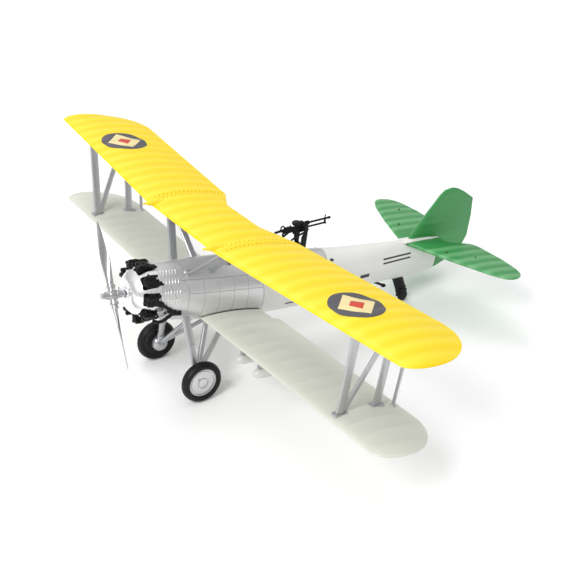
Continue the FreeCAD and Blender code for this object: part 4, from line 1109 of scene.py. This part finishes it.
hub_parts = [lathe(spinner, (0, hub_front, THRUST_HEIGHT), (0, 1, 0), 40),
             lathe(sleeve, centre, blade_way, 32)]
for along in (-2.65, 2.65):
    for lift in (-1, 1):
        spot = centre + blade_way * along + turning * 1.45 * lift
        hub_parts.append(block(spot, (0.32, 0.5, 0.32), (turning, Vector((0, 1, 0)), blade_way), 0.08))
hub = solid("propeller_barrel", together(hub_parts), blade_grey, "propeller", 35)
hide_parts("propeller_hub")

# ------------------------------------------------------------------ main landing gear
# Each side has a thick faired oleo leg and a vee of thin rods, silver-grey, meeting at the brake drum
# that carries a fixed stub axle.
MAIN_AXLE = (15.04, -15.56, -26.80)
for side, name in SIDES:
    top, foot = Vector(flip(side, (5.8, -18.85, -6.2))), Vector(flip(side, (12.0, -16.05, -24.6)))
    collar = top.lerp(foot, 0.55)
    way = (foot - top).normalized()
    leg = solid("oleo_leg_" + name, together([
        strut(top, collar, 1.35, 0.95, steps=8), strut(collar, foot, 1.1, 0.8, steps=8),
        lathe([(0, -0.35), (1.15, -0.35), (1.3, -0.2), (1.3, 0.25), (1.12, 0.35), (0, 0.35)], collar, way,
              28),
        lathe([(0, -1.9), (1.1, -1.9), (1.2, -1.75), (1.2, -0.9), (1.0, -0.7), (0, -0.7)], foot, way, 28)]),
        silver_paint)
    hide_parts("gear_leg_" + name)
    axle = flip(side, MAIN_AXLE)
    outward = Vector((side, 0, 0))
    drum = lathe([(0, -4.44), (0.55, -4.44), (0.75, -4.3), (0.8, -4.1), (1.5, -4.0), (2.2, -3.65),
                  (2.65, -3.0), (2.8, -2.4), (2.8, -1.84), (0.8, -1.84), (0.8, 0.75), (0, 0.75)],
                 axle, outward, 48)
    hub_spot = flip(side, (12.0, -15.56, -26.3))
    rods = solid("radius_rods_" + name, together([
        drum, strut(flip(side, (2.0, -7.6, -10.4)), hub_spot, 0.92, 0.68, flare=0.12),
        strut(flip(side, (1.4, 1.4, -11.0)), hub_spot, 0.92, 0.68, flare=0.12),
        bead(flip(side, (12.0, -15.9, -25.2)), (1.1, 1.5, 1.3))]), silver_paint)
    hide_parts("gear_radius_rods_" + name)

# ------------------------------------------------------------------ wheels
# Black rubber-like tyres with two shallow grooves on smooth silver discs, a raised rim, a ring of small
# fasteners and a hub cap with a filler hole; each wheel turns on its stub axle.
rubber = finish("tyre_rubber", (0.009, 0.009, 0.0095), gloss=0.42, shade=0.35, grain=0.00025,
                relief=0.00002, shine=BLACK_SHINE)
wheel_silver = finish("wheel_silver", (0.68, 0.685, 0.695), gloss=0.33, metal=0.8, coat=0.1, relief=0.0000015)
for side, name in SIDES:
    axle = flip(side, MAIN_AXLE)
    outward = Vector((side, 0, 0))
    half = [(4.9, 1.35), (5.0, 1.42), (5.2, 1.5), (5.6, 1.66), (5.9, 1.72), (6.02, 1.66), (6.08, 1.56),
            (6.14, 1.62), (6.3, 1.52), (6.55, 1.24), (6.75, 0.92), (6.86, 0.70), (6.84, 0.62), (6.88, 0.54),
            (6.96, 0.40), (6.985, 0.30), (6.95, 0.22), (6.95, 0.16), (7.0, 0.08), (7.0, 0.0)]
    profile = half + [(radius, -along) for radius, along in half[-2::-1]]
    tyre = solid("tyre_cover_" + name, hollow(lathe(profile + [profile[0]], axle, outward, 72)), rubber,
                 "wheel_" + name, 50)
    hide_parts("tyre_" + name)
    disc = lathe([(0.86, -1.54), (4.88, -1.54), (4.88, 0.86), (4.78, 1.06), (4.55, 1.1), (4.38, 1.0),
                  (4.34, 0.5), (4.0, 0.5), (3.94, 0.84), (3.0, 1.0), (1.95, 1.12), (1.88, 0.8), (1.62, 0.8),
                  (1.5, 1.2), (0.9, 1.28), (0.75, 1.22), (0.6, 1.22), (0.5, 1.31), (0, 1.31), (0, 0.9),
                  (0.86, 0.9), (0.86, -1.54)], axle, outward, 64)
    wheel = solid("wheel_disc_cover_" + name, hollow(disc), wheel_silver, "wheel_" + name, 30)
    wheel.data.materials.append(rubber)
    for face in wheel.data.polygons:
        if face.normal.x * side < -0.5:
            face.material_index = 1
    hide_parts("wheel_disc_" + name)
    studs = []
    for k in range(10):
        angle = 2 * math.pi * k / 10
        spot = Vector(axle) + Vector((side * 1.2, 1.2 * math.cos(angle), 1.2 * math.sin(angle)))
        studs.append(bead(spot, (0.1, 0.15, 0.15), 8))
    stud_ring = solid("wheel_studs_" + name, together(studs), wheel_silver, "wheel_" + name)
    # the filler hole is a dark disc on the cap: painted shade standing in for the hole
    spot = (axle[0] + side * 0.98, axle[1] - 1.6, axle[2] + 1.4)
    hole = solid("wheel_filler_hole_shade_" + name, lathe(
        [(0, 0), (0.34, 0), (0.38, 0.05), (0.38, 0.11), (0, 0.11)], spot, outward, 16), dark_and_shadow, "wheel_" + name)

# ------------------------------------------------------------------ tail
# Fin with rudder and a one-piece tailplane in green plastic, both flat plates with rounded edges and
# ribs under the cover, glued to the fuselage end; small dark hinge pins show on top.
green = finish("green_plastic", (0.035, 0.27, 0.065), gloss=0.38, coat=0.2, shade=0.08)
# painted shading: paler bands across the tailplane ribs stand in for the light caught by the ribs
painted_rib_shading(green, (0.035, 0.27, 0.065), (0.13, 0.40, 0.16), 5.2, only_below=5.6, beyond=9.0)


def between(table, spot):
    """Straight-line reading of a table of (position, value) pairs."""
    for (a, first), (b, second) in zip(table, table[1:]):
        if spot <= b:
            return first + (second - first) * (spot - a) / (b - a)
    return table[-1][1]


def plate_ring(lead, trail, thick, steps=14):
    """Corners round a thin plate with a rounded front and a fine rear edge."""
    chord = trail - lead
    thick = min(thick, chord * 0.5)
    top = []
    for step in range(steps + 1):
        part = 0.5 * (1 - math.cos(math.pi * step / steps))
        front = min(1.0, math.sqrt(max(0.0, 1 - (1 - min(1.0, part * chord / 2.2)) ** 2)))
        rear = min(1.0, 0.30 + 0.70 * min(1.0, (1 - part) * chord / 7.0))
        top.append((lead + part * chord, thick * front * rear))
    return top + [(y, -z) for y, z in top[:0:-1]]


stab_lead = [(0.0, 73.5), (2.5, 73.7), (8, 75.6), (20, 80.2), (32, 85.6), (36.5, 88.6), (38.0, 90.6),
             (38.3, 92.0)]
stab_trail = [(0.0, 89.6), (4.2, 89.8), (6.4, 92.5), (8.6, 97.4), (10, 98.6), (12, 99.1), (24, 99.6),
              (32, 98.8), (35.5, 97.5), (37.2, 96.0), (38.1, 94.0), (38.3, 92.1)]
STAB_PITCH = 5.2
rings = []
outs = span_spots(0.0, 38.28, STAB_PITCH, 6.0)
for x in [-out for out in outs[:0:-1]] + outs:
    ring = plate_ring(between(stab_lead, abs(x)), between(stab_trail, abs(x)), 0.75)
    rings.append([(x, y, 4.46 + z) for y, z in ring])
stab = solid("tailplane_cover", skin_between(rings), green)
mark_free(stab, lambda at: min(at.y - between(stab_lead, abs(at.x)),
                               between(stab_trail, abs(at.x)) - at.y), 3.0)
grow(stab, rib_cover, {"Rib Pitch": STAB_PITCH / 1000, "Sag": 0.00012, "Tape Width": 0.0006,
                       "Tape Height": 0.00002, "Material": green})
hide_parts("tailplane")
fin_lead = [(-7.2, 89.9), (-5.2, 89.3), (3.7, 89.3), (3.75, 74.2), (4.2, 74.4), (9.4, 77.7), (14.2, 81.3),
            (21.2, 86.7), (22.9, 88.6), (23.6, 91.0), (23.75, 92.3)]
fin_trail = [(-7.2, 90.2), (-5.2, 94.4), (-0.8, 101.6), (4.0, 103.9), (12.0, 104.0), (19.0, 103.2),
             (20.04, 101.4), (21.9, 98.2), (23.2, 95.2), (23.75, 92.9)]
FIN_PITCH = 3.6
rings = []
heights = sorted(set(span_spots(-7.2, 23.74, FIN_PITCH, 3.0) + [3.7, 3.75, -5.2, 19.0]))
for z in heights:
    ring = plate_ring(between(fin_lead, z), between(fin_trail, z), 0.8)
    rings.append([(x, y, z) for y, x in ring])
fin = solid("fin_and_rudder_cover", skin_between(rings), green)
fin_up = up
mark_free(fin, lambda at: min(at.y - between(fin_lead, at.z), between(fin_trail, at.z) - at.y), 3.0)
grow(fin, rib_cover, {"Rib Pitch": FIN_PITCH / 1000, "Sag": 0.00008, "Tape Width": 0.0005,
                      "Tape Height": 0.00001, "Across Ribs": tuple(fin_up),
                      "First Rib": nose.dot(fin_up), "Face Way": (1.0, 0.0, 0.0), "Material": green})
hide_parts("fin_and_rudder")
fabric_white = finish("fabric_white", (0.76, 0.76, 0.73), gloss=0.42, coat=0.1)
rings = []
for step in range(13):
    y = 72.2 + 17.0 * step / 12
    wide, tall = 2.3 - 0.085 * (y - 72.2), 0.75 * math.sin(math.pi * min(1.0, (y - 71.9) / 5) / 2) * (
        1.0 if y < 84 else 1.0 - (y - 84) / 9)
    rings.append([(wide * math.cos(math.pi * 2 * k / 24), y, 5.1 + tall * math.sin(math.pi * 2 * k / 24))
                  for k in range(24)])
fillet = solid("fin_root_fillet", skin_between(rings), fabric_white)
pins = []
for x, y in ((20.4, 89.8), (-25.6, 91.9), (-13.5, 82.1), (13.5, 82.1)):
    pins.append(lathe([(0, 0), (0.36, 0), (0.36, 0.35), (0.2, 0.5), (0, 0.5)], (x, y, 5.0), (0, 0, 1), 14))
tail_pins = solid("tail_pins", together(pins), dark_and_shadow)

# ------------------------------------------------------------------ tail wheel and hook
# A black sprung leg with a fork holds the small solid tail wheel; the hook ahead of it is a plain rod
# with a claw.
leg_parts = [strut((0, 73.2, -8.4), (0, 76.4, -14.4), 2.2, 1.05, steps=8, flare=0.1)]
TAIL_AXLE = (0, 77.7, -16.925)
for x in (-1.25, 1.25):
    leg_parts.append(block((x, 76.9, -15.7), (0.24, 1.15, 2.1), SQUARE, 0.12))
leg_parts.append(block((0, 76.4, -14.1), (1.5, 1.2, 0.45), SQUARE, 0.15))
leg_parts.append(lathe([(0, -1.5), (0.4, -1.5), (0.4, 1.5), (0, 1.5)], TAIL_AXLE, (1, 0, 0), 16))
fork = solid("tail_fork_cover", together(leg_parts), engine_black)
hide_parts("tail_wheel_fork")
wheel = solid("tail_wheel_cover", hollow(lathe(
    [(0.45, -0.8), (1.1, -0.8), (1.25, -0.7), (1.55, -0.74), (1.85, -0.6), (2.08, -0.3), (2.15, 0),
     (2.08, 0.3), (1.85, 0.6), (1.55, 0.74), (1.25, 0.7), (1.1, 0.8), (0.45, 0.8), (0.45, -0.8)],
    TAIL_AXLE, (1, 0, 0), 40)), rubber, "tail_wheel")
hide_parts("tail_wheel")
hook = solid("hook_cover", together([
    pipe([(0, 60.6, -9.0), (0, 64.0, -10.1), (0, 66.8, -11.3), (0, 67.9, -11.8), (0, 68.3, -11.4)], 0.48, 12),
    block((0, 67.6, -11.7), (0.6, 0.7, 0.5), SQUARE, 0.15)]), engine_black)
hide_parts("arrestor_hook")

# ------------------------------------------------------------------ stores
# Four small bombs in grey-white plastic, each with four fins inside a ring, hang in pairs on dark racks
# that are glued under the lower wings.
bomb_grey = finish("bomb_grey", (0.62, 0.62, 0.60), gloss=0.42, metal=0.1)
rack_grey = finish("rack_grey", (0.33, 0.33, 0.33), gloss=0.45, metal=0.2)
for side, name in SIDES:
    for where, x in (("inner", 27.0), ("outer", 36.6)):
        centre = Vector((side * x, -11.5, -13.6))
        parts = [lathe([(0, 0), (0.5, 0.1), (1.0, 0.5), (1.4, 1.2), (1.62, 2.2), (1.65, 3.2), (1.65, 5.6),
                        (1.4, 7.0), (0.95, 8.3), (0.6, 9.2), (0.5, 10.2), (0, 10.3)], centre, (0, 1, 0), 32)]
        for k in range(4):
            angle = math.pi / 4 + math.pi / 2 * k
            out = Vector((math.cos(angle), 0, math.sin(angle)))
            parts.append(block(centre + Vector((0, 9.6, 0)) + out * 0.8, (0.7, 1.3, 0.07), (
                out, Vector((0, 1, 0)), out.cross(Vector((0, 1, 0)))), 0.04))
        parts.append(hollow(lathe(
            [(1.42, 9.3), (1.5, 9.35), (1.5, 10.95), (1.42, 11.0), (1.38, 10.9), (1.38, 9.4), (1.42, 9.3)],
            centre, (0, 1, 0), 28)))
        bomb = solid("bomb_%s_cover_%s" % (where, name), together(parts), bomb_grey)
        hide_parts("bomb_%s_%s" % (where, name))
    repaint(rack_grey, "bomb_rack_" + name)

# ------------------------------------------------------------------ rear gun
# One gun in black plastic on a ring round the rear cockpit: a turntable with two posts carries it on a
# cross pin; a flat drum sits on top, and a barrel and a tube below it meet at a bracket with a foresight.
gun_black = finish("gun_black", (0.008, 0.008, 0.009), gloss=0.36, metal=0.2, shade=0.35, relief=0.00001,
                   shine=BLACK_SHINE)
repaint(silver_paint, "gun_ring")
repaint(gun_black, "gun_mount")
slope = math.radians(6.4)
gun_way = Vector((0, math.cos(slope), math.sin(slope)))
gun_up = Vector((0, -math.sin(slope), math.cos(slope)))
pivot = Vector((0, 27.4, 15.6))


def by_gun(x, back, lift):
    return pivot + Vector((x, 0, 0)) + gun_way * back + gun_up * lift


gun_axes = (Vector((1, 0, 0)), gun_way, gun_up)
parts = [block(by_gun(0, -3.1, 0.05), (0.78, 4.5, 0.72), gun_axes, 0.14),
         block(by_gun(0, 0.2, 0.75), (0.72, 1.5, 0.68), gun_axes, 0.14),
         block(by_gun(0, -5.9, 0.95), (0.5, 1.3, 0.35), gun_axes, 0.12),
         block(by_gun(0, -1.0, -0.85), (1.0, 0.9, 0.35), gun_axes, 0.12),
         block(by_gun(0, -3.4, -1.0), (0.35, 0.6, 0.7), gun_axes, 0.12),
         block(by_gun(0.85, -3.6, 0.1), (0.16, 2.6, 0.32), gun_axes, 0.06),
         block(by_gun(-0.85, -3.6, 0.1), (0.16, 2.6, 0.32), gun_axes, 0.06)]
upper_tube = [(0, 0.8), (0.6, 0.8), (0.66, 1.0), (0.66, 1.9), (0.42, 2.2), (0.36, 2.5), (0.34, 9.9),
              (0.44, 10.0), (0.48, 10.5), (0.42, 10.95), (0, 10.95)]
lower_tube = [(0, 0.8), (0.58, 0.8), (0.6, 1.7), (0.4, 1.9), (0.33, 2.2), (0.33, 8.7), (0.42, 8.8),
              (0.42, 9.2), (0, 9.2)]
cooling_ring = [(0, -0.07), (0.74, -0.07), (0.74, 0.07), (0, 0.07)]
parts += [lathe(upper_tube, by_gun(0, 0, 1.2), gun_way, 18),
          lathe(lower_tube, by_gun(0, 0, -0.3), gun_way, 18)]
parts += [lathe(cooling_ring, by_gun(0, 1.05 + 0.26 * k, 1.2), gun_way, 18) for k in range(5)]
# the bracket that joins both tubes near the muzzle, with the foresight blade on it
parts += [block(by_gun(0, 8.9, 0.45), (0.3, 0.26, 1.2), gun_axes, 0.08),
          pipe([by_gun(0, 8.9, 1.5), by_gun(0, 8.95, 2.7)], 0.16, 8),
          bead(by_gun(0, 8.95, 2.2), (0.22, 0.3, 0.22), 10)]
# hand grip, ring sight and shoulder piece at the gunner's end
parts += [pipe([by_gun(0, -7.3, 0.4), by_gun(0, -9.2, 0.45), by_gun(0, -11.2, 0.3)], 0.42, 12),
          pipe([by_gun(0, -7.5, -0.2), by_gun(0, -8.1, -1.1), by_gun(0, -7.9, -1.9)], 0.34, 10),
          pipe([by_gun(-1.6, -7.3, -0.2), by_gun(1.6, -7.3, -0.2)], 0.36, 10)]
sight = [by_gun(0, -8.2 + 0.75 * math.cos(math.pi * k / 9), 1.0 + 1.05 * math.sin(math.pi * k / 9))
         for k in range(18)]
parts += [pipe(sight, 0.24, 8, True), pipe([by_gun(0, -5.2, 1.2), by_gun(0, -5.2, 1.9)], 0.14, 8)]
gun_cover = solid("gun_cover", together(parts), gun_black, "gun")
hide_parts("machine_gun")
drum_parts = [lathe([(0, 0), (1.35, 0), (1.45, 0.12), (1.5, 0.3), (1.5, 0.85), (1.35, 1.0), (1.0, 1.05),
                     (0.9, 1.15), (0.4, 1.2), (0, 1.2)], by_gun(0, -2.7, 1.5), gun_up, 32)]
for k in range(12):
    angle = 2 * math.pi * k / 12
    out = Vector((math.cos(angle), 0, 0)) + gun_way * math.sin(angle)
    drum_parts.append(pipe([by_gun(0, -2.7, 1.7) + out * 1.5, by_gun(0, -2.7, 2.35) + out * 1.5], 0.1, 6))
drum_parts.append(block(by_gun(0, -0.6, 1.95), (0.7, 0.5, 0.35), gun_axes, 0.1))
drum = solid("drum_cover", together(drum_parts), gun_black, "gun")
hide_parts("ammunition_drum")
mount_parts = []
for x in (-2.1, 2.1):
    mount_parts.append(block((x, 27.25, 12.4), (0.24, 0.75, 3.6), SQUARE, 0.12))
    mount_parts.append(pipe([(x, 26.9, 9.3), (x, 26.3, 11.0), (x, 26.2, 12.6), (x, 26.9, 14.2)], 0.42, 10))
    mount_parts.append(pipe([(x * 0.9, 18.6, 9.0), (x, 20.9, 11.6), (x, 23.6, 13.4), (x, 26.8, 14.6)], 0.34,
                            10))
    mount_parts.append(lathe([(0, -0.35), (0.62, -0.35), (0.7, -0.2), (0.7, 0.2), (0.62, 0.35), (0, 0.35)],
                             (x, 27.4, 15.6), (1, 0, 0), 18))
mount = solid("gun_mount_braces", together(mount_parts), gun_black, "gun_carriage")

# ------------------------------------------------------------------ plain bars on the rear fuselage
# Thin black print on the off-white shell.  The name and number of the real one are left out: only plain
# dark bars stand in their places.
print_black = finish("bar_black", (0.03, 0.03, 0.035), gloss=0.5)
bars = []
for side in (1, -1):
    for y_from, y_to, z_from, z_to in ((61.5, 75.5, -0.6, 0.0), (61.5, 75.5, 0.9, 1.5),
                                       (50.5, 55.0, -3.9, -2.6), (18.7, 23.2, -8.1, -7.5)):
        rows = []
        for k in range(9):
            y = y_from + (y_to - y_from) * k / 8
            rows.append((hull_side(y, z_from, 0.03, side), hull_side(y, z_to, 0.03, side),
                         hull_side(y, z_to, -0.1, side), hull_side(y, z_from, -0.1, side)))
        bars.append(skin_between([list(row) for row in rows]))
side_bars = solid("side_bars", together(bars), print_black)

# ------------------------------------------------------------------ floor, light and camera
# The model stands on a plain white floor under soft studio light, with a pale sky behind it.  The
# camera looks from ahead on the left and from above.
floor_paint, tree, shader = blank("floor_paint")
cloudy = add_node(tree, "ShaderNodeTexNoise", {"Scale": 3.0})
tone = add_node(tree, "ShaderNodeMapRange", {"Value": cloudy.outputs["Fac"], "To Min": 0.97, "To Max": 0.98})
tree.links.new(tone.outputs[0], shader.inputs["Base Color"])
shader.inputs["Roughness"].default_value = 0.9
shader.inputs["Specular IOR Level"].default_value = 0.1
mesh = bpy.data.meshes.new("floor")
reach = 6.0
mesh.from_pydata([(-reach, -reach, 0), (reach, -reach, 0), (reach, reach, 0), (-reach, reach, 0)], [],
                 [(0, 1, 2, 3)])
mesh.materials.append(floor_paint)
floor = bpy.data.objects.new("floor", mesh)
bpy.context.scene.collection.objects.link(floor)

scene = bpy.context.scene
scene.view_settings.view_transform = "Standard"
sky = bpy.data.worlds.new("studio")
sky.use_nodes = True
tree = sky.node_tree
place = add_node(tree, "ShaderNodeTexCoord").outputs["Generated"]
height = add_node(tree, "ShaderNodeSeparateXYZ", {0: place})
glow = add_node(tree, "ShaderNodeMapRange", {"Value": height.outputs[2], "From Min": 0.05, "From Max": 0.75,
                                             "To Min": 0.28, "To Max": 0.80})
tree.links.new(glow.outputs[0], tree.nodes["Background"].inputs[1])
tree.nodes["Background"].inputs[0].default_value = (1, 1, 1, 1)
scene.world = sky


def lamp(name, spot, target, size, power):
    light = bpy.data.lights.new(name, "AREA")
    light.shape = "DISK"
    light.size = size
    light.energy = power
    made = bpy.data.objects.new(name, light)
    made.location = spot
    made.rotation_euler = (Vector(target) - Vector(spot)).to_track_quat("-Z", "Y").to_euler()
    scene.collection.objects.link(made)


lamp("key_light", (0.35, -0.75, 0.75), (0, 0, 0.03), 0.45, 6.5)
lamp("fill_light", (-0.6, 0.1, 0.9), (0, 0, 0.03), 0.6, 3.0)

azimuth, height_angle, roll = math.radians(52.520), math.radians(24.103), math.radians(8.390)
back = Vector((math.sin(azimuth) * math.cos(height_angle), -math.cos(azimuth) * math.cos(height_angle),
               math.sin(height_angle)))
right0 = Vector((math.cos(azimuth), math.sin(azimuth), 0))
up0 = back.cross(right0)
right = right0 * math.cos(roll) + up0 * math.sin(roll)
top = up0 * math.cos(roll) - right0 * math.sin(roll)
turn = craft.to_3x3() * 1000
eye = craft @ (Vector((4.726, 20.568, -3.232)) + back * 399.827)
pose = Matrix((turn @ right, turn @ top, turn @ back)).transposed().to_4x4()
pose.translation = eye
lens = bpy.data.cameras.new("camera")
lens.lens = 75.39
lens.sensor_width = 36.0
lens.clip_start = 0.01
lens.clip_end = 20.0
camera = bpy.data.objects.new("camera", lens)
camera.matrix_world = pose
scene.collection.objects.link(camera)
scene.camera = camera
